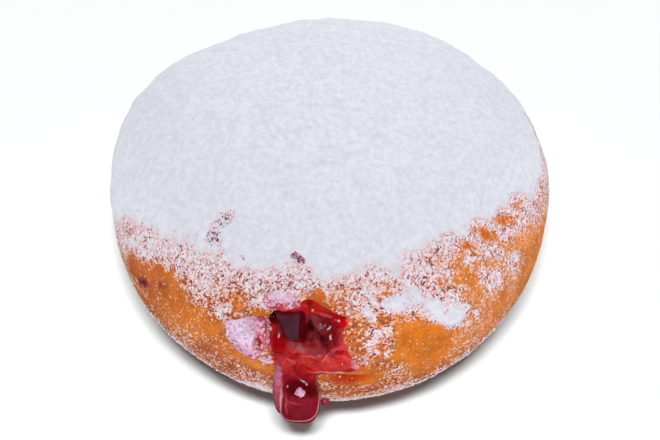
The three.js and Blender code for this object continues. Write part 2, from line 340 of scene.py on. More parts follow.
dusting = {
    "atEdge": 0.69,  # how much of the crust is white just below the cap
    "lower": 0.24,
    "fadeLength": 11,  # degrees below the edge
    "fadeAtRight": 5,
    "right": (-30, 27),  # azimuth and width
    "capRise": 0.80,  # how much more on the cap, where it is fully thick
    "capRiseLength": 12,  # degrees above the edge
    "clouds": 0.20,
    "cloudPattern": [(6.5, 13, 1), (2.2, 14, 0.8)],  # size, seed and weight
    "calmerOnCap": 0.7,
    "speckle": 0.13,
    "specklePattern": [(1.1, 18, 1)],
    "edgeRaggedness": 3.0,  # degrees
    "edgePattern": [(5, 11, 1), (1.6, 12, 0.5)],
    "spotPush": (1.5, 2.2, 91, 3),  # reach, size, seed and octaves of the spots' ragged outlines
    "spotPatches": 0.7,  # how uneven the spots are
    "spotPattern": (2.2, 19, 3),
    "rim": 0.12,  # picked up from the table, at the bottom
    "rimFrom": (7.5, 10),  # degrees below level between which it sets in
    "rimLine": 0.46,  # the whiter line below that
    "rimLineFrom": (12.4, 13.9),
    "rimLineBehind": 0.35,  # how much of it there is at the back
    "rimLineFront": (-90, 85),
    "rimPatches": 0.45,
    "rimPattern": (5, 16),
    "rimTo": (22, 38),  # degrees below level between which it fades out
}
rimRises = [(-108, 6, 4.0), (-84, 8, 0.5)]  # azimuth, width and how much higher the rim's sugar reaches
# azimuth, elevation, half length, half width, turn and how much more or less sugar
sugarSpots = [
    (-59.6, 11.2, 5.0, 3.2, -36, 1.10),  # caked lump at the right
    (-67.6, 17.0, 3.4, 2.0, -10, 0.44),
    (-74.6, 18.0, 2.3, 1.4, -10, 0.62),
    (-79.4, 20.2, 1.7, 1.0, 0, 0.40),
    (-79.8, 16.3, 1.8, 1.1, -45, 0.70),
    (-75.8, 12.0, 1.4, 1.2, 80, 0.38),
    (-75.7, 9.2, 3.8, 1.3, 80, 0.52),  # streaks right of the jam
    (-80.0, 9.4, 3.8, 1.9, 70, 0.50),
    (-122.7, 16.0, 2.2, 1.0, 23, 0.50),
    (-118.6, 12.3, 2.6, 1.3, 25, 0.32),
    (-154.1, 9.5, 2.6, 1.1, 43, 0.34),
    (-147.1, 14.3, 1.6, 1.0, 35, 0.32),
    (-39.1, 16.3, 3.1, 1.7, -31, 0.40),
    (-32.4, 10.2, 1.5, 1.0, -43, 0.45),
    (-48.5, 18.4, 1.5, 0.6, -27, 0.40),
    (-55.6, 19.4, 1.3, 1.0, -33, 0.20),
    (-51.0, 6.2, 1.4, 0.8, -52, 0.50),
    (-105.5, 3.0, 1.3, 1.1, -76, 0.60),  # small lump under the flap
    (-51.5, 16.6, 2.4, 1.2, -26, -0.30),
    (-46.0, 21.4, 3.2, 1.1, -30, -0.56),
    (-29.5, 19.2, 3.8, 1.2, -32, -0.56),
    (-38.0, 21.4, 3.4, 1.1, -45, -0.56),
    (-23.4, 4.8, 12.5, 5.4, 13, -0.10),  # right edge, nearly bare
    (-67.6, 4.9, 7.0, 5.0, -45, -0.55),  # bare golden front
    (-143.4, 7.6, 9.0, 3.1, 28, -0.60),  # bare left
    (-93.4, 19.6, 3.2, 1.4, -33, -0.58),  # bare wedge above the jam
    (-109.6, 1.3, 4.4, 2.4, -35, -0.45),  # below the flap
    (-85.4, -0.8, 5.2, 2.4, -12, -0.62),  # round the crease
    (-108.9, 14.5, 1.8, 1.2, 17, -0.45),  # between lip and flap
    (-131.3, 5.3, 5.1, 3.0, 65, -0.12),
    (-120.1, 6.6, 4.0, 1.7, 33, -0.22),
    (-159.5, 9.4, 4.3, 2.6, 45, -0.05),
    (-20.0, 18.0, 5.0, 2.5, -20, -0.30),
    (-52.0, 20.6, 6.5, 1.8, -20, -0.22),
    (-73.0, 22.0, 2.8, 1.8, 0, -0.28),
    (-88.5, 21.0, 4.5, 2.2, 0, -0.22),
    (-82.0, 15.5, 4.0, 3.0, 0, -0.10),
    (-117.5, 16.5, 5.5, 3.0, 0, -0.14),
    (-44.0, 12.0, 3.5, 2.2, -30, 0.34),
    (-34.0, 8.5, 5.0, 3.2, -40, 0.32),
    (-55.0, 15.0, 2.6, 1.2, -30, 0.20),
    (-88.0, -8.0, 5.0, 2.0, 0, -0.12),
    (-118.0, -4.0, 7.0, 2.4, 20, 0.16),  # speckled lower left
    (-129.0, -3.0, 5.0, 2.6, 35, 0.14),
]
# the same where the cap is worn thin, but as thick as elsewhere
wornSpots = [
    (-129.0, 33.9, 2.2, 1.4, -20, -0.74),
    (-131.0, 30.6, 2.4, 2.3, 60, -0.76),
    (-129.6, 27.2, 1.5, 2.0, 80, -0.64),
    (-102.0, 30.0, 0.8, 0.7, -35, -0.70),
    (-100.9, 29.4, 1.1, 0.9, -45, -1.30),
    (-98.9, 28.4, 1.0, 0.8, -35, -1.40),
    (-117.7, 25.8, 0.8, 0.5, 0, -0.75),
]


# the elevation of the sugar cap's edge at each azimuth
def sugarEdge(azimuth):
    front = bell(azimuth, edge["frontAzimuth"], edge["frontWidth"], 4)
    dip = bell(azimuth, edgeDip["azimuth"], edgeDip["width"])
    level = edge["back"] + edge["frontRise"] * front - edgeDip["depth"] * dip
    for order, depth, crest in edgeWaves:
        level = level + depth * np.cos(np.radians(order * (azimuth - crest)))
    for middle, width, rise in edgeTongues:
        level = level + rise * bell(azimuth, middle, width)
    return level


# degrees below level, counted as more where the rim's sugar reaches higher
def rimDepth(azimuth, elevation):
    depth = -elevation
    for middle, width, higher in rimRises:
        depth = depth + higher * bell(azimuth, middle, width)
    return depth


# more than 1 on the cap, falling away below its ragged edge, with clouds, lumps and bare spots
def sugarAmount(d):
    ball = bun["radius"] * d
    azimuth, elevation = anglesOf(d)
    below = sugarEdge(azimuth) - elevation + dusting["edgeRaggedness"] * layered(ball, dusting["edgePattern"])
    atRight = bell(azimuth, *dusting["right"])
    fade = smoothStep(below, 0, mix(dusting["fadeLength"], dusting["fadeAtRight"], atRight))
    onCap = smoothStep(-below, 0, dusting["capRiseLength"])
    amount = mix(dusting["atEdge"], dusting["lower"], fade) + dusting["capRise"] * onCap
    clouds = dusting["clouds"] * (1 - dusting["calmerOnCap"] * onCap)
    amount = amount + clouds * layered(ball, dusting["cloudPattern"])
    amount = amount + dusting["speckle"] * (1 - onCap) * layered(ball, dusting["specklePattern"])
    rough = unit(pushAbout(ball, *dusting["spotPush"]))
    patchy = 1 + dusting["spotPatches"] * mottle(ball, *dusting["spotPattern"])
    for *place, more in sugarSpots:
        amount = amount + more * patchy * spotOn(rough, place)
    depth = rimDepth(azimuth, elevation)
    rim = dusting["rim"] * smoothStep(depth, *dusting["rimFrom"])
    line = dusting["rimLine"] * mix(dusting["rimLineBehind"], 1, bell(azimuth, *dusting["rimLineFront"], 4))
    rim = rim + line * smoothStep(depth, *dusting["rimLineFrom"])
    patches = 1 + dusting["rimPatches"] * mottle(ball, *dusting["rimPattern"])
    return amount + rim * patches * (1 - smoothStep(-elevation, *dusting["rimTo"]))


# ---- the crust

crust = {
    "rows": 300,
    "around": 318,
    "drawnIn": 0.45,  # closer rows towards the mouth
    "mouthDepth": 2.4,  # how far it sinks under the jam
    "mouthHollow": (-0.2, -0.3, 6.2, 4.4, 0, 3),  # across, up, half length, half width, turn and sharpness
    "jamStain": (0.3, -2.4, 8.6, 7.6, 0, 2),
    "gold": (0.60, 0.16, 0.010),
    "right": (0.71, 0.213, 0.033),
    "left": (0.50, 0.12, 0.024),
    "leftShare": 0.85,
    "rightSide": (-15, 38),  # azimuth and width
    "leftSide": (-150, 22),
    "underside": (0.34, 0.095, 0.022),
    "undersideFrom": (0, 40),  # degrees below level between which it sets in
    "deep": (0.44, 0.065, 0.008),
    "deepShare": 0.35,
    "freckles": (4.2, 21),  # size and seed
    "frecklesFrom": (0.15, 0.8),
    "markPush": (0.5, 1.6, 22),  # reach, size and seed of the marks' ragged outlines
}
# how much fine powder lies over the crust between the grains; places are an azimuth and a width in degrees
powder = {
    "lessInFront": 0.7,
    "front": (-95, 32),
    "frontUpTo": (14, 22),
    "lessAtRim": 0.6,
    "rimFrom": (1, 6),
    "moreAtRight": 0.35,
    "right": (-32, 26),
}
# azimuth, elevation, half length, half width, turn, colour and how strong
crustMarks = [
    (-93.6, 19.3, 3.6, 1.5, -35, (0.50, 0.105, 0.018), 0.8),  # bare wedge above the jam
    (-86.2, -1.4, 4.1, 1.7, -8, (0.47, 0.030, 0.0005), 1.0),  # crease
    (-67.6, 5.5, 9.0, 6.0, -30, (0.65, 0.17, 0.004), 0.9),  # golden front
    (-29.0, 18.6, 3.2, 1.5, -32, (0.58, 0.10, 0.012), 0.9),  # deeper by the edge at the right
    (-38.6, 22.0, 2.2, 1.3, -40, (0.56, 0.09, 0.012), 0.9),
    (-45.1, 22.0, 2.2, 1.3, -40, (0.58, 0.11, 0.010), 0.9),
    (-82.6, 21.2, 1.6, 1.0, 0, (0.34, 0.035, 0.012), 0.8),
    (-145.2, 3.2, 3.2, 1.7, 42, (0.36, 0.040, 0.045), 0.85),  # plum-red marks at the left
    (-145.6, 3.3, 1.8, 0.9, 47, (0.10, 0.005, 0.016), 0.95),
    (-138.2, 8.2, 1.7, 0.9, 30, (0.24, 0.035, 0.014), 0.9),
    (-82.6, -7.1, 2.2, 0.6, -8, (0.66, 0.08, 0.10), 1.0),  # jam streaks by the rim
    (-124.0, -3.0, 9.0, 3.4, 28, (0.40, 0.085, 0.030), 0.75),
    (-112.0, -5.5, 8.0, 2.8, 15, (0.34, 0.064, 0.024), 0.85),  # browner above the rim
    (-80.0, -7.5, 12.0, 2.4, -5, (0.38, 0.070, 0.022), 0.75),
    (-84.5, -7.8, 1.0, 0.3, -8, (0.60, 0.05, 0.06), 0.8),
    (-117.0, -6.4, 2.6, 1.0, 20, (0.36, 0.045, 0.018), 0.75),
    (-121.5, -3.4, 2.4, 0.9, 25, (0.42, 0.07, 0.03), 0.5),
    (-110.0, 2.0, 5.0, 2.0, -35, (0.58, 0.17, 0.028), 0.8),
    (-128.0, 0.0, 5.5, 2.5, 40, (0.60, 0.19, 0.03), 0.6),
]


def crustColour(d):
    azimuth, elevation = anglesOf(d)
    colour = np.ones(d.shape) * crust["gold"]
    colour = mix(colour, crust["right"], bell(azimuth, *crust["rightSide"])[..., None])
    colour = mix(colour, crust["left"], crust["leftShare"] * bell(azimuth, *crust["leftSide"])[..., None])
    colour = mix(colour, crust["underside"], smoothStep(-elevation, *crust["undersideFrom"])[..., None])
    freckle = smoothStep(mottle(bun["radius"] * d, *crust["freckles"]), *crust["frecklesFrom"])[..., None]
    colour = mix(colour, crust["deep"], crust["deepShare"] * freckle)
    rough = unit(pushAbout(bun["radius"] * d, *crust["markPush"]))
    return painted(colour, crustMarks, lambda place: spotOn(rough, place))


def powderOn(d):
    azimuth, elevation = anglesOf(d)
    upper = 1 - smoothStep(elevation, *powder["frontUpTo"])
    shown = 1 - powder["lessInFront"] * bell(azimuth, *powder["front"], 4) * upper
    shown = shown * (1 - powder["lessAtRim"] * smoothStep(-elevation, *powder["rimFrom"]))
    return shown + powder["moreAtRight"] * bell(azimuth, *powder["right"])


# rows of rings round the mouth from 0 to 180 degrees off its middle, closer together near it
def ringsRoundMouth(count, around, drawnIn):
    off = np.linspace(0, np.pi, count)
    off = off - drawnIn * np.sin(off)
    turn = 2 * np.pi * np.arange(around) / around
    aside = np.cos(turn)[:, None] * mouthAcross + np.sin(turn)[:, None] * mouthUp
    return np.cos(off)[:, None, None] * mouthOut + np.sin(off)[:, None, None] * aside


d = ringsRoundMouth(crust["rows"], crust["around"], crust["drawnIn"])
sunk = nearMouth(d, *crust["mouthHollow"])
points, faces = closedRows(crustPoint(d, -crust["mouthDepth"] * sunk))
flat = unit(points - bunCentre)
crustValues = {
    "tone": crustColour(flat),
    "dust": np.clip(sugarAmount(flat), 0, 1.2),
    "stained": nearMouth(flat, *crust["jamStain"]),
    "filmy": powderOn(flat),
}
crustPiece = makePiece("crust", points, faces, crustValues)
print("crust", len(points), "points")

# ---- the sugar coat

coat = {
    "thickness": 0.80,  # over the crown
    "atEdge": 0.20,
    "thickening": (-2, 26),  # degrees above its edge between which it gets thicker
    "coverFrom": (0.82, 1.12),  # amounts of sugar between which the crust gets fully covered
    "caked": 0.22,  # how much thicker lumps are below the edge
    "cakedFrom": (1.1, 1.6),
    "cakedUpTo": (-4, 2),  # degrees above the edge
    "sunk": 0.12,  # how far it lies under the crust where there is none
    "sunkByMouth": 1.3,  # the same by the steep torn edges
    "tornEdges": (-1.3, -1.6, 15.0, 11.0, 0, 3),  # across, up, half length, half width, turn and sharpness
    "tornUpTo": (0.9, 1.1),  # amounts of sugar between which those get covered
    "lumps": 0.60,
    "lumpPattern": [(6.5, 31, 1), (2.6, 32, 0.7)],  # size, seed and weight
    "lumpsFrom": (-2, 12),  # degrees above the edge
    "grain": 0.06,
    "grainOffCap": 0.4,
    "grainPattern": (0.8, 33, 3),
    "loose": 0.12,
    "loosePattern": (1.0, 34),
    "looseFrom": (0.55, 0.85),
    "highest": 1.0,  # over the crust
    "highestBelow": 0.45,  # the same at the lower side
    "lowerSide": (2, 8),  # degrees below level
    "capRows": 150,
    "fringeRows": 144,
    "lowest": -19,  # degrees
    "capAround": 600,
    "fringeAround": 640,
    "margin": 5,  # degrees from the sugar's edge up to the foot of the cap
    "overlap": 7,  # degrees that cap and fringe share
    "taper": 0.5,  # how far each is sunk under the other at its end
    "fringeTaper": 0.12,  # the share of the fringe which that takes
    "capBackStep": 24,  # rows of the top to one row of the back
    "fringeBackStep": 25,
    "drawnForward": 0.35,  # closer columns at the front
    "wornPush": (0.7, 1.3, 17),  # reach, size and seed of the worn spots' ragged outlines
    "backDepth": 1.9,
    "hidden": 1.2,  # the amount of sugar on the back
}


# the coat's height over the crust: a thin film with a ragged edge that thickens slowly towards the crown
def coatHeight(d):
    ball = bun["radius"] * d
    amount = sugarAmount(d)
    azimuth, elevation = anglesOf(d)
    above = elevation - sugarEdge(azimuth)
    full = smoothStep(amount, *coat["coverFrom"])
    thickness = mix(coat["atEdge"], coat["thickness"], smoothStep(above, *coat["thickening"]))
    caked = coat["caked"] * smoothStep(amount, *coat["cakedFrom"])
    caked = caked * (1 - smoothStep(above, *coat["cakedUpTo"]))
    rough = coat["lumps"] * layered(ball, coat["lumpPattern"]) * smoothStep(above, *coat["lumpsFrom"])
    grain = coat["grain"] * mottle(ball, *coat["grainPattern"])
    loose = coat["loose"] * (1 - full) * smoothStep(amount, *coat["looseFrom"])
    loose = loose * mottle(ball, *coat["loosePattern"])
    torn = nearMouth(d, *coat["tornEdges"]) * (1 - smoothStep(amount, *coat["tornUpTo"]))
    sunk = mix(coat["sunk"], coat["sunkByMouth"], torn)
    grain = grain * (coat["grainOffCap"] + full)
    height = mix(-sunk, thickness + caked, full) + rough * full + grain + loose
    highest = mix(coat["highest"], coat["highestBelow"], smoothStep(-elevation, *coat["lowerSide"]))
    return np.minimum(height, highest), amount


# more columns at the front, where the ragged edge is seen closest
def frontAzimuths(count):
    t = 2 * np.pi * np.arange(count) / count
    return np.degrees(t + coat["drawnForward"] * np.sin(t)) + edge["frontAzimuth"] + 180


def coatRows(azimuths, elevations, taper):
    d = aim(azimuths[None, :] + 0 * elevations, elevations)
    height, amount = coatHeight(d)
    rough = unit(pushAbout(bun["radius"] * d, *coat["wornPush"]))
    for *place, more in wornSpots:
        amount = amount + more * spotOn(rough, place)
    return crustPoint(d, height - taper), amount


# the hidden back of the coat, a smooth skin well under the crust
def coatBack(azimuths, elevations):
    d = aim(azimuths[None, :] + 0 * elevations, elevations)
    return crustPoint(d, -coat["backDepth"] + 0 * elevations, withReliefs=False)


# one part of the coat, its top and then its back, with the amount of sugar at each point
def coatPart(azimuths, elevations, taper, backStep):
    top, amount = coatRows(azimuths, elevations, taper)
    inner = coatBack(azimuths, elevations[::backStep][::-1])
    amounts = np.concatenate([amount, np.full(inner.shape[:2], coat["hidden"])])
    return np.concatenate([top, inner]), np.clip(amounts, 0, 1.5)


azimuths = frontAzimuths(coat["capAround"])
share = np.linspace(0, 1, coat["capRows"])[:, None]
elevations = mix(90, sugarEdge(azimuths)[None, :] + coat["margin"], share)
taper = coat["taper"] * smoothStep(share, 1 - coat["overlap"] / 90, 1) + 0 * elevations
rows, amounts = coatPart(azimuths, elevations, taper, coat["capBackStep"])
points, faces = closedRows(rows)
amounts = np.concatenate([amounts[:1, 0], amounts[1:-1].ravel(), amounts[-1:, 0]])
sugarCap = makePiece("sugarCap", points, faces, {"amount": amounts})

azimuths = frontAzimuths(coat["fringeAround"])
share = np.linspace(0, 1, coat["fringeRows"])[:, None]
elevations = mix(sugarEdge(azimuths)[None, :] + coat["margin"] + coat["overlap"], coat["lowest"], share)
taper = coat["taper"] * (1 - smoothStep(share, 0, coat["fringeTaper"])) + 0 * elevations
rows, amounts = coatPart(azimuths, elevations, taper, coat["fringeBackStep"])
points, faces = hoop(rows)
sugarFringe = makePiece("sugarFringe", points, faces, {"amount": amounts.ravel()})
print("sugar coat", len(points), "points in the fringe")

# ---- loose grains and lumps of sugar

grains = {  # how many, their smallest and largest size, and how far they stand off the surface
    "fine": {"piece": "sugarDustGrains", "count": 16000, "low": 0.06, "high": 0.11, "lift": 0.03, "seed": 41},
    "medium": {"piece": "sugarGrains", "count": 6500, "low": 0.10, "high": 0.17, "lift": 0.05, "seed": 42},
    "lumps": {"piece": "sugarLumps", "count": 160, "low": 0.2, "high": 0.34, "lift": 0.05, "seed": 43},
    "rim": {"piece": "sugarRimGrains", "count": 3200, "low": 0.13, "high": 0.29, "lift": 0.05, "seed": 45},
}
grainPlaces = {
    "looseUpTo": (0.95, 1.1),  # amounts of sugar between which the coat hides them
    "lumpsFrom": (0.6, 0.9),
    "lumpsUpTo": (0.95, 1.05),
    "lumpsAbove": (-0.12, 0.0),  # heights over level, in the bun's radius
    "rimFrom": (6, 9),  # degrees below level
    "rimTo": (16, 24),
    "rimPattern": (2.6, 44),  # size and seed
    "rimPatchesFrom": (-0.5, 0.4),
}
whiteGrain, oilyGrain = (0.73, 0.70, 0.76), (0.66, 0.42, 0.38)
# across, up, half length, half width, turn and sharpness
jamArea = (0.6, -2.9, 8.2, 8.4, 0, 4)
jamStainArea = (-1.2, -3.6, 9.5, 8.5, 0, 2)
octahedron = np.array([[1, 0, 0], [0, 1, 0], [0, 0, 1], [-1, 0, 0], [0, -1, 0], [0, 0, -1]], float)
octahedronFaces = np.array(
    [[0, 1, 2], [1, 3, 2], [3, 4, 2], [4, 0, 2], [1, 0, 5], [3, 1, 5], [4, 3, 5], [0, 4, 5]]
)


# a ball of triangles: an octahedron with each face cut in four and drawn out to the sphere
def roundGrain():
    a, b, c = (octahedron[octahedronFaces[:, k]] for k in range(3))
    ab, bc, ca = unit(a + b), unit(b + c), unit(c + a)
    quarters = ((a, ab, ca), (ab, b, bc), (ca, bc, c), (ab, bc, ca))
    triangles = np.concatenate([np.stack(part, 1) for part in quarters])
    corners, index = np.unique(np.round(triangles.reshape(-1, 3), 6), axis=0, return_inverse=True)
    return corners, index.reshape(-1, 3)


# places picked at random over the bun, more of them where there is more sugar
def scatter(count, seed, weight, lowest=-0.75, highest=0.85, tries=12):
    rng = np.random.default_rng(seed)
    z = rng.uniform(lowest, highest, count * tries)
    turn = rng.uniform(0, 2 * np.pi, count * tries)
    level = np.sqrt(1 - z * z)
    d = np.stack([level * np.cos(turn), level * np.sin(turn), z], -1)
    kept = d[rng.random(len(d)) < weight(d)]
    return kept[:count], rng


# each grain is the same few-sided shape, turned at random, stretched a little and set on the surface
def grainMesh(name, places, sizes, rng, shape, shapeFaces, rough=0.3, tint=None):
    q = unit(rng.normal(size=(len(places), 4)))
    w, x, y, z = q.T
    turned = np.stack(
        [
            np.stack([1 - 2 * (y * y + z * z), 2 * (x * y - w * z), 2 * (x * z + w * y)], -1),
            np.stack([2 * (x * y + w * z), 1 - 2 * (x * x + z * z), 2 * (y * z - w * x)], -1),
            np.stack([2 * (x * z - w * y), 2 * (y * z + w * x), 1 - 2 * (x * x + y * y)], -1),
        ],
        axis=1,
    )
    stretch = 1 + rough * rng.uniform(-1, 1, (len(places), len(shape), 1))
    local = np.einsum("nij,nkj->nki", turned, shape[None] * stretch) * sizes[:, None, None]
    points = (places[:, None, :] + local).reshape(-1, 3)
    faces = (shapeFaces[None] + len(shape) * np.arange(len(places))[:, None, None]).reshape(-1, 3)
    if tint is None:
        tint = mix(np.array(whiteGrain), oilyGrain, rng.random((len(places), 1)) ** 1.5)
    stained = nearMouth(unit(places - bunCentre), *jamStainArea)
    values = {"stained": stained, "tint": tint, "dust": np.ones(len(places))}
    values = {key: np.repeat(value, len(shape), axis=0) for key, value in values.items()}
    return makePiece(name, points, [faces], values, smooth=False)


def offJam(d):
    return 1 - nearMouth(d, *jamArea)


def looseWeight(d):
    amount = sugarAmount(d)
    return np.clip(amount, 0, 1) ** 2 * (1 - smoothStep(amount, *grainPlaces["looseUpTo"])) * offJam(d)


def lumpWeight(d):
    amount = sugarAmount(d)
    upper = smoothStep(d[..., 2], *grainPlaces["lumpsAbove"]) * smoothStep(amount, *grainPlaces["lumpsFrom"])
    return upper * (1 - smoothStep(amount, *grainPlaces["lumpsUpTo"])) * offJam(d)


# more grains, and coarser ones, along the rim where the bun has lain in loose sugar
def rimWeight(d):
    depth = rimDepth(*anglesOf(d))
    patches = mottle(bun["radius"] * d, *grainPlaces["rimPattern"])
    band = smoothStep(patches, *grainPlaces["rimPatchesFrom"]) * smoothStep(depth, *grainPlaces["rimFrom"])
    return band * (1 - smoothStep(depth, *grainPlaces["rimTo"])) * offJam(d)


weights = {"fine": looseWeight, "medium": looseWeight, "lumps": lumpWeight, "rim": rimWeight}
sugarGrains = []
for name, kind in grains.items():
    d, rng = scatter(kind["count"], kind["seed"], weights[name])
    sizes = kind["low"] + (kind["high"] - kind["low"]) * rng.random(len(d)) ** 2
    height, _ = coatHeight(d)
    places = crustPoint(d, np.maximum(height, 0) + kind["lift"])
    shape, shapeFaces = roundGrain() if name == "lumps" else (octahedron, octahedronFaces)
    sugarGrains.append(grainMesh(kind["piece"], places, sizes, rng, shape, shapeFaces))
    print(kind["piece"], len(d))

# ---- the jam

jamFilm = {
    "corners": [
        (8.5, 2.7), (7.0, 3.0), (5.6, 3.5), (4.0, 4.1), (2.3, 4.9), (0.7, 5.9), (-0.6, 6.2), (-2.2, 5.4),
        (-4.2, 4.7), (-6.2, 4.4), (-7.4, 3.4), (-7.6, 1.6), (-7.2, -0.1), (-7.5, -1.8), (-7.2, -3.6),
        (-6.6, -5.4), (-6.0, -7.4), (-5.6, -9.4), (-3.4, -10.6), (0.0, -10.5), (2.6, -9.7), (4.9, -8.9),
        (7.6, -8.1), (10.4, -7.8), (9.4, -6.4), (8.3, -4.6), (7.6, -2.7), (7.0, -0.8), (7.3, 0.8), (8.0, 1.8),
    ],
    "middle": (0.4, -2.8),
    "around": 300,
    "rings": 90,
    "thickness": 0.62,
    "ripples": 0.2,  # heights of what makes its surface uneven, and the size and seed of each pattern
    "ripplePattern": (2.0, 51),
    "rippleStretch": (1, 0.45, 1),  # so that they run down
    "lumps": 0.5,
    "lumpPattern": (3.4, 52),
    "strands": 0.2,
    "strandPattern": (2.6, 53),
    "strandThinness": 5,
    "glints": 0.25,
    "least": 0.1,
    "sunk": 0.12,
    "root": -0.8,
    "voxel": 0.17,
}
# across, up, half length, half width, turn and height of each swelling of the jam in the mouth
jamMounds = [
    (0.2, 0.4, 6.6, 5.0, 0, 0.6),
    (2.7, 0.2, 2.7, 2.7, 0, -0.9),  # the right fruit shows through here
    (-5.4, -1.8, 3.0, 1.6, 80, 1.2),  # deep red at the left
    (-3.8, -4.2, 2.2, 1.3, -30, 0.9),
    (0.9, 5.2, 1.9, 1.2, -35, 0.9),  # beside the lip
    (3.2, 3.9, 1.7, 1.0, -25, 0.9),
    (5.6, 2.9, 1.6, 0.9, -10, 0.7),
    (7.0, 2.2, 1.1, 0.8, -10, 0.55),
    (-6.3, 2.6, 1.3, 1.2, 20, -1.8),  # dark gap below the lip
    (-1.3, -3.2, 2.8, 1.2, -8, 0.5),
    (6.4, -1.4, 2.6, 0.8, 80, 0.5),
    (5.0, -5.4, 3.6, 0.8, -24, 0.45),
    (2.4, -4.8, 2.4, 0.8, 30, 0.4),
    (7.6, -6.4, 2.4, 0.5, -25, 0.35),
    (-0.6, -7.6, 2.4, 2.0, 0, 0.9),
    (0.2, 2.0, 0.8, 2.2, 10, -0.9),  # between the fruit
]
drip = {"top": -6.2, "bottom": -22.5, "across": -0.85, "sway": 0.25, "hang": 2.4}
dripNeck = {"halfWidth": 2.9, "halfOut": 1.6}
dripBelly = {"halfWidth": 4.1, "halfOut": 4.5}
dripLobe = {
    "across": -4.2,
    "top": -8.4,
    "bottom": -20.9,
    "halfWidth": 2.1,
    "halfOut": 3.4,
    "hang": 2.1,
    "sway": -0.5,
}
dripRim = {
    "across": -0.8,
    "up": -14.5,
    "halfAcross": 3.7,
    "halfUp": 5.8,
    "tilt": 0.2,
    "line": 0.93,
    "width": 0.11,
    "below": (13, 17),  # how far under the mouth it sets in
}
redBit = {"across": 3.5, "up": -20.0, "halfAcross": 0.95, "halfUp": 1.0, "height": 1.5}
redBitCorners = ((1, 0), (0.3, 0.8), (-0.8, 0.6), (-1, -0.5), (0.2, -1))  # in its half sizes


# 1 along the lower outline of the drip: a painted pale rim of light, as where light shines through its thin
#                                        edge
def dripRimLightAt(x, y):
    right = x - dripRim["across"]
    form = np.abs(right / dripRim["halfAcross"]) ** 4
    form = form + np.abs((y - dripRim["tilt"] * right - dripRim["up"]) / dripRim["halfUp"]) ** 4
    return np.exp(-(((form - dripRim["line"]) / dripRim["width"]) ** 2)) * smoothStep(-y, *dripRim["below"])


# small places that shine, painted as highlights and raised a little in the film: across, up, half length,
# half width and turn
glints = [
    (4.3, 1.05, 0.26, 0.13, 60),
    (4.0, 0.75, 0.16, 0.10, 20),
    (4.5, -0.55, 0.22, 0.14, 80),
    (4.6, -0.95, 0.16, 0.12, 100),
    (1.0, 4.4, 0.16, 0.13, 0),
    (5.9, 2.6, 0.20, 0.08, -20),
    (6.9, 0.15, 0.18, 0.10, 60),
    (-4.9, -0.3, 0.26, 0.11, 80),
    (-6.1, -6.2, 0.16, 0.10, 60),
    (8.1, 2.5, 0.20, 0.08, 0),
]
# painted highlights on the drip, laid out the same way
dripGlints = [(-3.1, -11.6, 0.22, 0.09, 80), (-0.2, -10.1, 0.50, 0.10, -30), (0.5, -10.7, 0.20, 0.12, -60)]
glintColour = (0.96, 0.76, 0.76)


def glintAt(x, y, places):
    return sum(spot(x, y, *place, 1.2) for place in places)


# painted highlights: the pale glint colour laid over the places that shine
def withGlints(colour, x, y, places):
    return mix(colour, glintColour, jamPaint["glintsShown"] * np.clip(glintAt(x, y, places), 0, 1)[:, None])


# a closed centripetal spline through the corners, as evenly spaced points
def smoothOutline(corners, count, steps=24):
    p1 = np.array(corners, float)
    p0, p2, p3 = np.roll(p1, 1, 0), np.roll(p1, -1, 0), np.roll(p1, -2, 0)
    pairs = ((p0, p1), (p1, p2), (p2, p3))
    t1, t12, t23 = (np.linalg.norm(b - a, axis=1)[:, None, None] ** 0.5 for a, b in pairs)
    t2 = t1 + t12
    t3 = t2 + t23
    t = mix(t1, t2, np.linspace(0, 1, steps, endpoint=False)[None, :, None])
    a, b, c, e = (p[:, None, :] for p in (p0, p1, p2, p3))
    ab = a + (b - a) * t / t1
    bc = b + (c - b) * (t - t1) / (t2 - t1)
    ce = c + (e - c) * (t - t2) / (t3 - t2)
    abc, bce = ab + (bc - ab) * t / t2, bc + (ce - bc) * (t - t1) / (t3 - t1)
    curve = (abc + (bce - abc) * (t - t1) / (t2 - t1)).reshape(-1, 2)
    gaps = np.linalg.norm(np.diff(curve, axis=0, append=curve[:1]), axis=1)
    length = np.concatenate([[0], np.cumsum(gaps)])
    at = np.linspace(0, length[-1], count, endpoint=False)
    closed = np.concatenate([curve, curve[:1]])
    return np.stack([np.interp(at, length, closed[:, k]) for k in (0, 1)], -1)


# a closed cushion on the crust: its outline drawn in to the middle on top, and the same below the crust
def patchOnCrust(outline, middle, rings, height, root):
    share = np.linspace(0, 1, rings)[:, None, None]
    flat = np.array(middle) + share * (outline[None] - np.array(middle))
    lift = height(flat[..., 0], flat[..., 1], share[..., 0] + 0 * flat[..., 0])
    top = crustPoint(fromMouth(flat[..., 0], flat[..., 1]), lift)
    back = flat[:: max(1, rings // 6)][::-1]
    under = crustPoint(fromMouth(back[..., 0], back[..., 1]), root + 0 * back[..., 0])
    return closedRows(np.concatenate([top, under]))


# a film with a rounded edge, swollen by the mounds and crossed by small ripples that run down
def jamLift(x, y, share):
    where = inPlane(x, y)
    body = np.sqrt(np.maximum(0, 1 - share**6))
    mounds = sum(height * spot(x, y, *place, 1.5) for *place, height in jamMounds)
    flowing = mottle(where * jamFilm["rippleStretch"], *jamFilm["ripplePattern"])
    # raised lines where the noise passes zero
    strands = 1 - np.abs(mottle(where, *jamFilm["strandPattern"])) * jamFilm["strandThinness"]
    swollen = jamFilm["thickness"] + mounds + jamFilm["ripples"] * flowing
    swollen = swollen + jamFilm["lumps"] * mottle(where, *jamFilm["lumpPattern"])
    swollen = swollen + jamFilm["strands"] * np.maximum(0, strands)
    swollen = swollen + jamFilm["glints"] * glintAt(x, y, glints)
    return -jamFilm["sunk"] + body * np.maximum(jamFilm["least"], swollen)


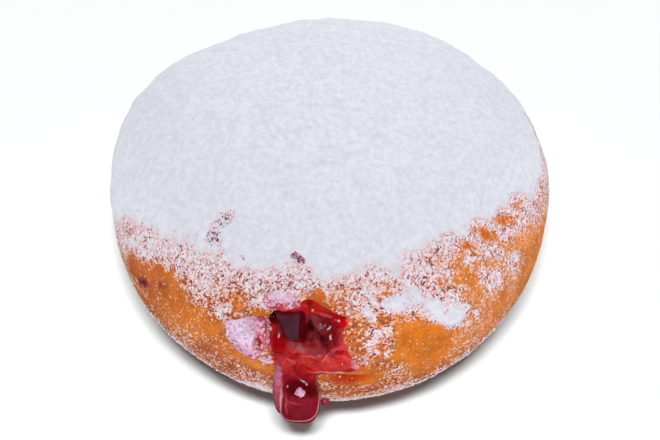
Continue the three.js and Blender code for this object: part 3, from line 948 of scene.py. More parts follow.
# a drop along a path down the crust: rounded-square rings, small at both ends, fuller lower down
def dropOnPath(path, neck, belly, rows=70, around=80, squareness=3):
    fall = 0.5 - 0.5 * np.cos(np.pi * np.linspace(0, 1, rows))[:, None]
    full = smoothStep(fall, 0.1, 0.6)
    ends = np.sqrt(np.maximum(0, 1 - np.abs(2 * fall - 1) ** 3.4))
    out = fromMouth(path["across"] - path["sway"] * fall[:, 0], mix(path["top"], path["bottom"], fall[:, 0]))
    centre = crustPoint(out, path["hang"] * fall[:, 0] ** 2)
    turn = 2 * np.pi * np.arange(around)[None, :] / around
    reach = (np.abs(np.cos(turn)) ** squareness + np.abs(np.sin(turn)) ** squareness) ** (-1 / squareness)
    wide = ends * mix(neck["halfWidth"], belly["halfWidth"], full) * np.cos(turn) * reach
    deep = ends * mix(neck["halfOut"], belly["halfOut"], full) * np.sin(turn) * reach
    return closedRows(centre[:, None, :] + wide[..., None] * mouthAcross + deep[..., None] * out[:, None, :])


def joined(parts):
    points = np.concatenate([p for p, _ in parts])
    shift = np.cumsum([0] + [len(p) for p, _ in parts[:-1]])
    quads = np.concatenate([f[0] + s for (_, f), s in zip(parts, shift)])
    triangles = np.concatenate([f[1] + s for (_, f), s in zip(parts, shift)])
    return points, [quads, triangles]


# the parts flow into one skin: remeshed in small cells, then smoothed, and made a plain mesh again
def flowTogether(piece, cell, smoothing):
    remesh = piece.modifiers.new("oneSkin", "REMESH")
    remesh.mode = "VOXEL"
    remesh.voxel_size = cell * mm
    remesh.use_smooth_shade = True
    smooth = piece.modifiers.new("settled", "SMOOTH")
    smooth.factor = 0.5
    smooth.iterations = smoothing
    shaped = piece.evaluated_get(bpy.context.evaluated_depsgraph_get())
    mesh = bpy.data.meshes.new_from_object(shaped)
    piece.modifiers.clear()
    old = piece.data
    piece.data = mesh
    bpy.data.meshes.remove(old)
    mesh.name = piece.name
    return pointsOf(mesh)


outline = smoothOutline(jamFilm["corners"], jamFilm["around"])
film = patchOnCrust(outline, jamFilm["middle"], jamFilm["rings"], jamLift, jamFilm["root"])
body = dropOnPath(drip, dripNeck, dripBelly)
lobe = dropOnPath(dripLobe, dripLobe, dripLobe, 40, 40, 2.2)
bitMiddle = np.array((redBit["across"], redBit["up"]))
bitCorners = bitMiddle + np.array((redBit["halfAcross"], redBit["halfUp"])) * redBitCorners
bit = patchOnCrust(
    smoothOutline(bitCorners, 30),
    bitMiddle,
    10,
    lambda x, y, share: redBit["height"] * np.sqrt(1 - share**2 * 0.9) - 0.1,
    -0.6,
)
points, faces = joined([film, body, lobe, bit])
jamPiece = makePiece("jam", points, faces)
points = flowTogether(jamPiece, jamFilm["voxel"], 4)
print("jam", len(points), "points")

# across, up, half length, half width, turn, colour and how strong, painted over one another in this order
jamTints = [
    (0.6, -5.4, 9.8, 4.4, -4, (0.46, 0.024, 0.024), 1.0),  # thin film
    (6.2, -5.6, 2.8, 1.7, -5, (0.66, 0.050, 0.046), 0.85),
    (6.6, -1.4, 3.6, 1.4, 80, (0.62, 0.040, 0.052), 0.9),
    (-5.0, -2.4, 3.4, 2.2, 80, (0.27, 0.001, 0.002), 1.0),  # deep red at the left
    (-3.6, -4.6, 2.3, 1.3, -20, (0.31, 0.003, 0.005), 0.9),
    (-3.9, 0.0, 3.6, 0.9, -47, (0.13, 0.001, 0.003), 0.8),  # shaded along the left fruit
    (1.6, 4.4, 2.8, 1.4, -25, (0.42, 0.012, 0.007), 1.0),  # beside the lip
    (6.0, 2.5, 2.7, 1.4, -10, (0.47, 0.002, 0.007), 1.0),  # red tip
    (2.6, 3.1, 1.2, 0.3, -30, (0.10, 0.001, 0.003), 0.6),
    (3.9, 2.3, 0.9, 0.3, -60, (0.10, 0.001, 0.003), 0.6),
    (0.4, 5.2, 0.9, 0.3, -50, (0.11, 0.001, 0.003), 0.7),
    (2.9, -0.2, 4.0, 3.7, 0, (0.13, 0.002, 0.006), 0.9),
    (2.0, -3.3, 2.4, 0.8, 5, (0.24, 0.018, 0.034), 0.7),
    (1.3, 2.4, 1.2, 0.9, 0, (0.15, 0.032, 0.045), 0.8),
    (0.8, 0.8, 1.0, 1.3, 0, (0.045, 0.0006, 0.0015), 0.9),  # painted shade between the fruit, here and in the next row
    (-0.6, 0.5, 0.7, 3.2, 5, (0.05, 0.0006, 0.002), 0.95),
    (-6.3, 2.5, 1.9, 1.6, 25, (0.030, 0.0005, 0.001), 1.0),  # painted shade in the gap below the lip
    (-1.4, -2.7, 2.0, 0.9, -12, (0.27, 0.046, 0.062), 0.75),  # milky place
    (-0.9, -2.9, 0.9, 0.5, 0, (0.33, 0.10, 0.12), 0.6),
    (2.4, -0.9, 1.8, 1.2, -20, (0.21, 0.026, 0.038), 0.7),
    (1.3, -0.7, 1.3, 0.25, 70, (0.07, 0.001, 0.002), 0.7),
    (3.3, -1.9, 1.2, 0.3, -30, (0.08, 0.001, 0.002), 0.7),
    (6.3, -3.4, 0.9, 0.7, 0, (0.28, 0.001, 0.005), 0.95),  # darker drops
    (6.5, -5.3, 1.5, 0.9, -50, (0.42, 0.012, 0.02), 0.7),
    (1.6, -4.9, 0.7, 0.3, -20, (0.28, 0.008, 0.012), 0.7),
    (4.4, -3.2, 1.7, 0.22, 50, (0.20, 0.004, 0.012), 0.8),  # dark strand and the light ones beside it
    (4.1, -4.2, 1.9, 0.22, 50, (0.64, 0.14, 0.16), 0.7),
    (5.2, -3.6, 1.8, 0.18, 55, (0.62, 0.13, 0.16), 0.5),
    (-0.2, -7.9, 2.3, 1.6, -25, (0.31, 0.0003, 0.001), 1.0),  # neck
    (-2.8, -6.0, 1.2, 0.5, -30, (0.62, 0.10, 0.11), 0.6),
    (0.6, -4.4, 2.6, 0.3, 8, (0.62, 0.11, 0.11), 0.5),
    (5.6, -8.3, 4.2, 0.35, -2, (0.78, 0.32, 0.30), 0.8),  # pale line at the bottom
    (9.5, -6.8, 1.5, 0.8, -60, (0.68, 0.25, 0.30), 0.75),
    (-5.2, -9.6, 0.8, 1.8, 0, (0.50, 0.17, 0.29), 0.85),
    (7.5, -0.6, 0.4, 2.4, 0, (0.64, 0.12, 0.17), 0.6),
    (8.0, 2.6, 0.7, 0.4, 10, (0.72, 0.16, 0.12), 0.6),
    # painted highlight along a strand beside the lip
    (3.4, 3.6, 1.3, 0.18, -20, (0.55, 0.12, 0.16), 0.5),
    (-6.9, -3.4, 0.6, 3.0, 5, (0.62, 0.10, 0.13), 0.7),
]
# the same on the drip
dripTints = [
    (-1.0, -16.0, 5.4, 7.0, 0, (0.20, 0.008, 0.018), 1.0),  # body
    (-0.7, -11.5, 3.3, 2.0, 0, (0.115, 0.0008, 0.003), 1.0),  # dark upper face
    (1.7, -12.6, 1.2, 1.2, 30, (0.10, 0.001, 0.003), 0.9),
    (-5.4, -13.4, 1.3, 5.4, 0, (0.36, 0.07, 0.10), 1.0),  # lobe at the left
    (-5.2, -9.8, 0.9, 1.6, 0, (0.50, 0.16, 0.27), 0.9),
    (-4.35, -15.2, 0.20, 4.2, -2, (0.62, 0.26, 0.28), 0.8),  # painted reflection: a light line beside the lobe
    (-3.2, -15.4, 0.16, 2.6, 4, (0.44, 0.09, 0.11), 0.6),
    (-1.6, -14.8, 1.6, 0.25, -8, (0.36, 0.05, 0.07), 0.6),
    (3.9, -20.2, 0.9, 1.7, 0, (0.30, 0.03, 0.05), 1.0),  # small bit beside the drip
]

jamPaint = {  # colours, how strong they are, and the size and seed of each pattern
    "plain": (0.42, 0.010, 0.016),
    "push": (0.28, 1.2, 61),  # reach, size and seed of the tints' ragged outlines
    "dripFrom": (7.6, 9.2),  # how far under the mouth's middle the drip sets in
    "strands": (0.60, 0.12, 0.13),
    "strandsShown": 0.12,
    "strandPattern": (3.2, 63),
    "strandThinness": 10,
    "strandsFrom": (-1, 4),  # how far under the mouth's middle
    "pits": (0.45, 0.12, 0.2),  # how much of each colour is left in them
    "pitsShown": 0.7,
    "pitPattern": (2.0, 64),
    "pitsFrom": (0.15, 0.6),
    "fewerOnDrip": 0.7,
    "clouds": 0.2,
    "cloudPattern": (0.9, 62),
    "rimLight": (0.82, 0.46, 0.48),
    "rimLightShown": 0.85,
    "glintsShown": 0.9,
}


def jamColour(points):
    x, y = acrossAndUp(pushAbout(points, *jamPaint["push"]))
    colour = np.ones(points.shape) * jamPaint["plain"]
    colour = painted(colour, jamTints + dripTints, lambda place: spot(x, y, *place, 3))
    onDrip = smoothStep(-y, *jamPaint["dripFrom"])[:, None]
    strands = 1 - np.abs(mottle(points, *jamPaint["strandPattern"])) * jamPaint["strandThinness"]
    strands = np.maximum(0, strands)[:, None] * smoothStep(-y, *jamPaint["strandsFrom"])[:, None]
    colour = mix(colour, jamPaint["strands"], jamPaint["strandsShown"] * strands * (1 - onDrip))
    pits = smoothStep(mottle(points, *jamPaint["pitPattern"]), *jamPaint["pitsFrom"])[:, None]
    pits = jamPaint["pitsShown"] * pits * (1 - jamPaint["fewerOnDrip"] * onDrip)
    colour = mix(colour, colour * jamPaint["pits"], pits)
    colour = colour * (1 + jamPaint["clouds"] * mottle(points, *jamPaint["cloudPattern"]))[:, None]
    across, up = acrossAndUp(points)
    # painted light along the drip's lower outline
    thin = jamPaint["rimLightShown"] * dripRimLightAt(across, up)[:, None]
    colour = mix(colour, jamPaint["rimLight"], thin)
    return withGlints(colour, across, up, glints + dripGlints)


setValues(jamPiece.data, {"tint": np.clip(jamColour(points), 0, 1)})

# ---- the fruit

fruits = {
    "fruitLeft": {
        "node": "fruit_piece_left",
        "corners": [(-6.1, 3.8), (-5.0, 3.7), (-3.9, 3.7), (-2.9, 4.0), (-1.8, 4.3), (-0.9, 4.1),
                    (-0.5, 3.5), (-0.2, 2.1), (-0.2, 0.6), (-0.3, -0.9), (-0.7, -1.9), (-1.6, -2.0),
                    (-2.7, -1.4), (-3.9, -0.7), (-4.8, 0.4), (-5.5, 1.5), (-6.1, 2.7)],
        "middle": (-2.9, 1.6),
        # height in the middle and its slope across and up, for each flat face
        "faces": [(2.2, 0.05, 0.06), (4.4, -1.2, 0.1), (3.4, 0.75, 0.4), (4.0, -0.1, 0.75)],
        "root": -1.3,
        "rough": 0.04,
        "tint": (0.062, 0.013, 0.024),
        "sideTint": (0.060, 0.0012, 0.003),
        "crumpled": False,
        "seed": 71,
        "soakPattern": (1.2, 77),  # size and seed
    },
    "fruitRight": {
        "node": "fruit_piece_right",
        "corners": [(-0.1, 2.6), (0.6, 3.4), (1.8, 3.5), (3.2, 3.2), (4.5, 2.5), (5.3, 1.2), (5.5, -0.2),
                    (4.9, -1.8), (3.6, -2.9), (2.4, -2.9), (1.2, -2.1), (0.4, -0.8), (-0.1, 0.8)],
        "middle": (2.6, 0.5),
        "faces": [(1.1, 0.25, 0.30), (1.3, -0.45, 0.15), (1.2, -0.05, -0.5), (1.7, 0.60, -0.30),
                  (1.6, 0.05, 0.6)],
        "root": -1.3,
        "rough": 0.42,
        "tint": (0.12, 0.004, 0.007),
        "crumpled": True,
        "seed": 72,
        "soakPattern": (1.2, 78),
        "blotchPattern": (1.3, 77, 3),  # size, seed and octaves
    },
}
reddest = ((-1.2, -1.6, 1.5, 0.9, -25, (0.085, 0.006, 0.012), 0.75),)  # lower end of the left piece
fruitForm = {
    "sharpness": 5,  # of the edges between the flat faces
    "squareness": 9,  # how late the sides fall away
    "drop": 0.4,  # how far they sink into the jam
    "wrinkleSize": 1.3,
    "wrinkleOctaves": 3,
    "blotches": 0.8,
    "soaked": (0.11, 0.001, 0.003),
    "soakedShown": 0.8,
    "soakedFrom": (0.1, 0.9, 0.4),  # from the outline: nearest, farthest and how uneven
}

# across, up, half length, half width, turn, colour and how strong on the crumpled right piece
fruitTints = [
    (2.2, 1.6, 1.1, 0.8, -20, (0.20, 0.034, 0.050), 0.6),  # milky
    (1.3, -1.1, 1.1, 0.8, -40, (0.15, 0.014, 0.022), 0.8),
    (3.6, 0.4, 1.0, 0.6, 30, (0.17, 0.012, 0.018), 0.7),
    (0.7, 0.9, 1.0, 0.8, 20, (0.030, 0.0006, 0.001), 0.95),  # painted shade in the hollows
    (3.2, -0.8, 0.8, 0.8, 0, (0.060, 0.0006, 0.001), 0.9),
    (2.5, -2.2, 0.7, 0.5, 0, (0.045, 0.0006, 0.001), 0.9),
    (2.4, 0.2, 1.5, 0.16, -50, (0.045, 0.001, 0.002), 0.85),  # painted shade along creases
    (1.7, -1.9, 1.2, 0.14, -20, (0.045, 0.001, 0.002), 0.8),
    (3.1, 1.3, 0.9, 0.13, 70, (0.045, 0.001, 0.002), 0.8),
]


# a cushion on the crust whose top is the lowest of several sloping planes, eased where they meet
def fruitPiece(name, spec):
    x0, y0 = spec["middle"]
    outline = smoothOutline(spec["corners"], 200)
    sharpness = fruitForm["sharpness"]
    wrinkled = (fruitForm["wrinkleSize"], spec["seed"], fruitForm["wrinkleOctaves"])

    def planes(x, y):
        return np.stack([h + a * (x - x0) + b * (y - y0) for h, a, b in spec["faces"]], -1)

    def height(x, y, share):
        eased = -np.log(np.exp(-sharpness * planes(x, y)).sum(-1)) / sharpness
        wrinkles = mottle(inPlane(x, y), *wrinkled)
        rounded = (1 - share ** fruitForm["squareness"]) ** 0.5
        return rounded * (eased + spec["rough"] * wrinkles) - fruitForm["drop"] * (1 - rounded)

    points, faces = patchOnCrust(outline, spec["middle"], 80, height, spec["root"])
    x, y = acrossAndUp(points)

    def here(place):
        return spot(x, y, *place)

    if spec["crumpled"]:
        onFace = np.zeros(len(points))
        blotches = fruitForm["blotches"] * mottle(points, *spec["blotchPattern"])[:, None]
        tint = painted(np.ones(points.shape) * spec["tint"] * (1 + blotches), fruitTints, here)
    else:
        heights = planes(x, y)
        others = np.delete(heights, 0, axis=-1).min(-1)
        onFace = smoothStep(others - heights[..., 0], 0.0, 0.3)
        tint = painted(mix(np.array(spec["sideTint"]), spec["tint"], onFace[:, None]), reddest, here)
    away = np.hypot(x[:, None] - outline[:, 0], y[:, None] - outline[:, 1]).min(axis=1)
    nearest, farthest, uneven = fruitForm["soakedFrom"]
    farthest = farthest + uneven * mottle(points, *spec["soakPattern"])
    soaking = fruitForm["soakedShown"] * (1 - smoothStep(away, nearest, farthest))[:, None]
    tint = withGlints(mix(tint, fruitForm["soaked"], soaking), x, y, glints)
    return makePiece(name, points, faces, {"tint": np.clip(tint, 0, 1), "matt": onFace})


fruitPieces = {name: fruitPiece(name, spec) for name, spec in fruits.items()}
print("fruit", list(fruitPieces))

# ---- torn edges of the mouth

tornPieces = {
    "tornFlap": {
        "corners": [(-15.4, -0.5), (-14.4, 0.3), (-13.0, 0.7), (-11.4, 1.0), (-9.8, 1.3), (-8.6, 1.3),
                    (-7.9, 0.7), (-7.6, -0.5), (-7.6, -1.8), (-7.9, -3.4), (-8.4, -4.9), (-8.9, -6.0),
                    (-9.7, -5.6), (-10.9, -4.8), (-12.1, -3.7), (-13.4, -2.7), (-14.5, -1.8)],
        "middle": (-10.3, -1.2),
        "thickness": 0.7,
        "least": 1.5,
        "jagged": (1.1, 81),  # size and seed
        "crumbs": [(1.7, 82, 0.34), (0.6, 83, 0.2)],  # size, seed and height
    },
    "mouthLip": {
        "corners": [(-8.8, 4.6), (-8.7, 5.6), (-7.3, 6.5), (-5.8, 6.8), (-4.2, 6.8), (-2.7, 6.5), (-1.5, 5.9),
                    (-1.0, 5.1), (-2.0, 4.5), (-3.3, 4.1), (-4.7, 3.8), (-6.2, 3.7), (-7.6, 3.9)],
        "middle": (-4.9, 5.2),
        "thickness": 0.5,
        "least": 1.9,
        "jagged": (1.1, 82),
        "crumbs": [(1.7, 83, 0.34), (0.6, 84, 0.2)],
    },
}
tornTints = [
    (-5.2, 5.2, 4.2, 1.3, 0, (0.66, 0.28, 0.40), 0.7),
    (-12.2, -0.4, 3.4, 1.8, -35, (0.76, 0.64, 0.80), 0.85),
    (-12.6, -3.8, 3.8, 0.8, -40, (0.44, 0.15, 0.36), 0.85),  # shaded lower edge
    (-7.9, -1.4, 3.4, 1.2, -85, (0.72, 0.20, 0.24), 0.85),  # soaked side
    (-7.5, -3.4, 1.8, 0.8, -75, (0.64, 0.07, 0.09), 0.8),
    (-8.9, -2.5, 1.3, 0.75, -75, (0.36, 0.012, 0.035), 1.0),  # red pocket
    (-9.9, -4.9, 0.5, 0.3, -40, (0.40, 0.05, 0.12), 0.8),
    (-8.1, 1.7, 1.6, 0.7, 0, (0.40, 0.035, 0.05), 0.85),
    (-4.6, 4.1, 4.2, 0.6, 5, (0.52, 0.04, 0.07), 0.95),  # soaked underside of the lip
    (-5.0, 4.7, 1.4, 0.5, 0, (0.66, 0.12, 0.14), 0.85),
    (-8.0, 5.2, 1.3, 1.2, 50, (0.58, 0.22, 0.25), 0.75),
    (-1.6, 5.6, 1.2, 1.3, -10, (0.60, 0.13, 0.18), 0.85),
    (-4.6, 6.5, 3.2, 0.9, 0, (0.74, 0.56, 0.72), 0.7),
    (-4.3, 4.6, 1.1, 0.6, -10, (0.66, 0.13, 0.12), 1.0),  # soaked lump under the lip
    (-0.5, -11.2, 2.0, 2.0, 0, (0.54, 0.18, 0.34), 1.0),  # fleck on the drip
    (10.2, -5.6, 3.0, 3.0, 0, (0.72, 0.42, 0.44), 1.0),  # crumbs right of the film
]

crumbPaint = {"plain": (0.66, 0.34, 0.48), "lighter": (0.80, 0.62, 0.72), "soaked": (0.76, 0.16, 0.18)}
flapHollow = {"place": (-8.8, -2.7, 1.0, 0.5, -75), "depth": 0.9}
tornForm = {
    "raggedness": 0.07,  # of the outline, in its distance from the middle
    "squareness": 7,  # how late the sides fall away
    "sunk": 0.1,
    "root": -0.9,
    "grains": 1.5,  # how many where it is white; fewer where it is soaked red
    "grainsBetween": (0.25, 0.92),
}


def tornColour(x, y):
    colour = np.ones(x.shape + (3,)) * crumbPaint["plain"]
    return painted(colour, tornTints, lambda place: spot(x, y, *place))


# a crumbly cushion on the crust, rough at the size of its sugar and soaked pink towards the jam
def tornPiece(name, spec):
    outline = smoothOutline(spec["corners"], 260)
    middle = np.array(spec["middle"])
    jagged = tornForm["raggedness"] * mottle(inPlane(*outline.T), *spec["jagged"])
    outline = middle + (outline - middle) * (1 + jagged[:, None])

    def height(x, y, share):
        crumbs = layered(inPlane(x, y), spec["crumbs"])
        hollow = flapHollow["depth"] * spot(x, y, *flapHollow["place"])
        body = np.maximum(spec["thickness"], spec["least"] - reliefAt(x, y)) + crumbs - hollow
        return body * (1 - share ** tornForm["squareness"]) ** 0.5 - tornForm["sunk"]

    points, faces = patchOnCrust(outline, spec["middle"], 90, height, tornForm["root"])
    tint = tornColour(*acrossAndUp(points))
    dust = np.clip(tornForm["grains"] * tint[:, 1] / tint[:, 0], *tornForm["grainsBetween"])
    return makePiece(name, points, faces, {"tint": tint, "dust": dust})


tornObjects = [tornPiece(name, spec) for name, spec in tornPieces.items()]

# crumbs of torn dough and sugar on the flap, on the lip and where they meet the jam
crumbAreas = [  # across, up, half length, half width, turn, how many, and their smallest and largest size
    (-11.0, -1.6, 4.0, 2.2, -40, 140, 0.12, 0.34),
    (-7.4, -1.6, 3.0, 0.8, 85, 110, 0.12, 0.36),
    (-4.8, 6.0, 3.4, 1.2, 5, 70, 0.12, 0.34),
    (-7.2, -6.6, 1.1, 0.8, 0, 26, 0.12, 0.36),
    (-0.45, -11.2, 0.7, 0.6, 20, 34, 0.30, 0.46),  # fleck on the drip
    (10.2, -5.6, 2.0, 0.9, -60, 34, 0.12, 0.30),
]
# the flap's red pocket and the lip's soaked lump stay clear: across, up, half length, half width, turn
keptClear = [(-8.9, -2.5, 1.7, 1.0, -75), (-4.3, 4.6, 1.3, 0.8, -10)]
soakedCrumbs = (-7.3, -2.2, 3.6, 0.9, 85)
crumbForm = {
    "seed": 91,
    "clearFrom": 0.3,  # how far into a clear place they may lie
    "lookedUp": 0.4,  # degrees round each, for the surface below it
    "standOff": 0.3,  # in their own size
    "soakedBetween": (0.2, 1),
    "soakedShown": 0.8,
    "lighterUpTo": 0.32,
}


# the farthest point of the given pieces in each direction, looked up within a small angle
def surfaceIn(d, pieces, angle):
    found = np.zeros(len(d))
    for piece in pieces:
        local = pointsOf(piece.data) - bunCentre
        radius = np.linalg.norm(local, axis=1)
        near = d @ (local / radius[:, None]).T > np.cos(np.radians(angle))
        found = np.maximum(found, np.where(near, radius, 0).max(axis=1))
    return found


def scatterCrumbs():
    rng = np.random.default_rng(crumbForm["seed"])
    spots, sizes = [], []
    for across, up, halfLong, halfShort, turn, count, low, high in crumbAreas:
        reach, angle = np.sqrt(rng.random(count)), rng.uniform(0, 2 * np.pi, count)
        along, aside = halfLong * reach * np.cos(angle), halfShort * reach * np.sin(angle)
        t = np.radians(turn)
        x = across + along * np.cos(t) - aside * np.sin(t)
        y = up + along * np.sin(t) + aside * np.cos(t)
        spots.append((x, y))
        sizes.append(low + (high - low) * rng.random(count) ** 2)
    x, y = np.concatenate(spots, axis=1)
    kept = np.all([spot(x, y, *place) < crumbForm["clearFrom"] for place in keptClear], axis=0)
    x, y, sizes = x[kept], y[kept], np.concatenate(sizes)[kept]
    d = fromMouth(x, y)
    radius = np.maximum(surfaceIn(d, [jamPiece, *tornObjects], crumbForm["lookedUp"]), crustRadius(d))
    places = d * (radius + crumbForm["standOff"] * sizes)[:, None] + bunCentre
    soaked = spot(x, y, *soakedCrumbs)[:, None] * rng.uniform(*crumbForm["soakedBetween"], (len(x), 1))
    lighter = rng.uniform(0.0, crumbForm["lighterUpTo"], (len(x), 1))
    tint = mix(tornColour(x, y), crumbPaint["lighter"], lighter)
    tint = mix(tint, crumbPaint["soaked"], crumbForm["soakedShown"] * soaked)
    return grainMesh("tornCrumbs", places, sizes, rng, *roundGrain(), tint=tint)


tornObjects.append(scatterCrumbs())
print("torn edges", len(tornObjects))

# ---- materials


# a plain value is set on the socket, and what comes out of another node is linked to it
def feed(tree, socket, value):
    if hasattr(value, "links"):
        tree.links.new(value, socket)
    elif isinstance(value, tuple) and len(value) == 3:
        socket.default_value = (*value, 1)
    else:
        socket.default_value = value


def addNode(tree, kind, **settings):
    node = tree.nodes.new("ShaderNode" + kind)
    for name, value in settings.items():
        if hasattr(node, name):
            setattr(node, name, value)
        else:
            feed(tree, node.inputs[name], value)
    return node


def newGroup(name, inputs, outputs):
    group = bpy.data.node_groups.new(name, "ShaderNodeTree")
    for socketName, kind, value in inputs:
        socket = group.interface.new_socket(socketName, in_out="INPUT", socket_type="NodeSocket" + kind)
        feed(group, socket, value)
    for socketName, kind in outputs:
        group.interface.new_socket(socketName, in_out="OUTPUT", socket_type="NodeSocket" + kind)
    return group, group.nodes.new("NodeGroupInput"), group.nodes.new("NodeGroupOutput")


def maths(tree, operation, *values):
    node = addNode(tree, "Math", operation=operation)
    for socket, value in zip(node.inputs, values):
        feed(tree, socket, value)
    return node.outputs[0]


def times(tree, a, b):
    return maths(tree, "MULTIPLY", a, b)


def remap(tree, value, low, high, toLow=0.0, toHigh=1.0):
    node = addNode(tree, "MapRange", interpolation_type="SMOOTHSTEP")
    limits = {"Value": value, "From Min": low, "From Max": high, "To Min": toLow, "To Max": toHigh}
    for name, part in limits.items():
        feed(tree, node.inputs[name], part)
    return node.outputs[0]


def blendColours(tree, share, a, b, blend="MIX"):
    node = addNode(tree, "Mix", data_type="RGBA", blend_type=blend)
    for socket, part in ((node.inputs[0], share), (node.inputs[6], a), (node.inputs[7], b)):
        feed(tree, socket, part)
    return node.outputs[2]


def noiseOf(tree, vector, scale, detail=2.0, roughness=0.5):
    node = addNode(tree, "TexNoise", Vector=vector, Scale=scale, Detail=detail, Roughness=roughness)
    return node.outputs[0]


dustPattern = {
    "clusters": (0.28, 3.0, 0.65),  # how many to a grain, detail and roughness
    "drift": 0.85,
    "layers": ((1.0, 1.0, 0.0), (0.55, 0.42, -0.12)),  # scale of the cells, share and offset of the amount
    "softness": (-0.11, 0.09),
}


# grains of sugar scattered over a surface: each small cell of the pattern is a grain if its random number is
# below the amount there; Mask is 1 on a grain, Tone is random for each cell, Shade for each bare cell
def makeDustGroup():
    group, given, result = newGroup(
        "sugarDust",
        [("Amount", "Float", 0.5), ("Grain", "Float", 3000.0)],
        [(name, "Float") for name in ("Mask", "Tone", "Shade", "Height")],
    )
    place = addNode(group, "TexCoord").outputs["Object"]
    size, *roughness = dustPattern["clusters"]
    clusters = noiseOf(group, place, times(group, given.outputs["Grain"], size), *roughness)
    drift = times(group, maths(group, "SUBTRACT", clusters, 0.5), dustPattern["drift"])
    amount = maths(group, "ADD", given.outputs["Amount"], drift)
    layers = []
    for size, share, offset in dustPattern["layers"]:
        cells = addNode(group, "TexVoronoi", feature="F1", Vector=place)
        feed(group, cells.inputs["Scale"], times(group, given.outputs["Grain"], size))
        parts = addNode(group, "SeparateColor", Color=cells.outputs["Color"])
        level = maths(group, "ADD", times(group, amount, share), offset)
        over = maths(group, "SUBTRACT", level, parts.outputs[0])
        layers.append((remap(group, over, *dustPattern["softness"]), parts, cells))
    mask = maths(group, "MAXIMUM", layers[0][0], layers[1][0])
    _, parts, cells = layers[0]
    bare = maths(group, "SUBTRACT", 1.0, mask)
    rounded = maths(group, "SUBTRACT", 1.0, cells.outputs["Distance"])
    feed(group, result.inputs["Mask"], mask)
    feed(group, result.inputs["Tone"], parts.outputs[1])
    feed(group, result.inputs["Shade"], times(group, parts.outputs[2], bare))
    feed(group, result.inputs["Height"], times(group, mask, rounded))
    return group


# a colour made uneven: lighter and darker clouds of one size, and fine flecks of another
def makeMottleGroup():
    sizes = [("Clouds", "Float", 300.0), ("Flecks", "Float", 1500.0), ("Depth", "Float", 0.15)]
    group, given, result = newGroup(
        "mottling", [("Color", "Color", (0.5, 0.5, 0.5)), *sizes], [("Color", "Color"), ("Height", "Float")]
    )
    place = addNode(group, "TexCoord").outputs["Object"]
    clouds = noiseOf(group, place, given.outputs["Clouds"], 3.0, 0.55)
    flecks = noiseOf(group, place, given.outputs["Flecks"], 2.0, 0.6)
    both = maths(group, "ADD", times(group, clouds, 0.6), times(group, flecks, 0.4))
    signed = remap(group, both, 0.3, 0.7, -1.0, 1.0)
    gain = maths(group, "ADD", 1.0, times(group, signed, given.outputs["Depth"]))
    scaled = addNode(group, "VectorMath", operation="SCALE", Scale=gain)
    feed(group, scaled.inputs[0], given.outputs["Color"])
    feed(group, result.inputs["Color"], scaled.outputs[0])
    feed(group, result.inputs["Height"], both)
    return group


dustGroup, mottleGroup = makeDustGroup(), makeMottleGroup()


def useGroup(tree, group, **inputs):
    return addNode(tree, "Group", node_tree=group, **inputs).outputs


def newMaterial(name, **plain):
    material = bpy.data.materials.new(name)
    material.use_nodes = True
    shader = material.node_tree.nodes["Principled BSDF"]
    into(material.node_tree, shader, **plain)
    return material, material.node_tree, shader


# what goes into the shader's own sockets
def into(tree, shader, **parts):
    for name, part in parts.items():
        feed(tree, shader.inputs[name.replace("_", " ")], part)


def attribute(tree, name, kind="Fac"):
    return addNode(tree, "Attribute", attribute_name=name).outputs[kind]


# a surface's painted colours made uneven: clouds and flecks to a metre, and how strong they are
def mottled(tree, colours, clouds, flecks, depth):
    painting = attribute(tree, colours, "Color")
    return useGroup(tree, mottleGroup, Color=painting, Clouds=clouds, Flecks=flecks, Depth=depth)


def bump(tree, shader, height, strength, distance):
    node = addNode(tree, "Bump", Strength=strength, Distance=distance * mm, Height=height)
    into(tree, shader, Normal=node.outputs[0])


looks = {  # colours, and for sugar the number of grains to a metre
    "grains": {"crust": 2900.0, "sugar": 3400.0, "torn": 2600.0},
    "jamStain": (0.50, 0.03, 0.02),
    "thinPowder": (0.66, 0.34, 0.27),
    "densePowder": (0.53, 0.30, 0.34),
    # specks between the grains: the crust's moist colour, partly painted shade
    "redSpeck": (0.33, 0.065, 0.035),
    "darkSpeck": (0.27, 0.048, 0.020),
    "darkInDust": (0.15, 0.026, 0.040),
    "denseGrains": [(0.74, 0.69, 0.76), (0.61, 0.34, 0.34)],
    "thinGrains": [(0.73, 0.46, 0.32), (0.64, 0.27, 0.14)],
    "packedSugar": [(0.598, 0.608, 0.674), (0.690, 0.700, 0.770)],
    "wornSugar": [(0.13, 0.020, 0.040), (0.40, 0.24, 0.32)],
    "thinSugar": (0.66, 0.46, 0.52),
    "pinkGrain": (0.76, 0.33, 0.38),
    "crumbPits": (0.72, 0.40, 0.56),
    "crumbGrains": (0.84, 0.72, 0.84),
}

# fried crust: its tone broken up by clouds and flecks, and stained round the jam
crustMaterial, tree, shader = newMaterial("crust", Specular_IOR_Level=0.2)
surface = mottled(tree, "tone", 260.0, 1500.0, 0.26)
soaked = blendColours(tree, times(tree, attribute(tree, "stained"), 0.5), surface["Color"], looks["jamStain"])
amount = attribute(tree, "dust")
dust = useGroup(tree, dustGroup, Amount=amount, Grain=looks["grains"]["crust"])
# fine powder between the grains
place = addNode(tree, "TexCoord").outputs["Object"]
drifting = times(tree, maths(tree, "SUBTRACT", noiseOf(tree, place, 900.0, 4.0, 0.7), 0.5), 1.2)
film = remap(tree, maths(tree, "ADD", amount, drifting), 0.15, 1.0, 0.0, 0.62)
film = times(tree, film, attribute(tree, "filmy"))
filmColour = blendColours(tree, remap(tree, amount, 0.4, 0.8), looks["thinPowder"], looks["densePowder"])
filmed = blendColours(tree, film, soaked, filmColour)
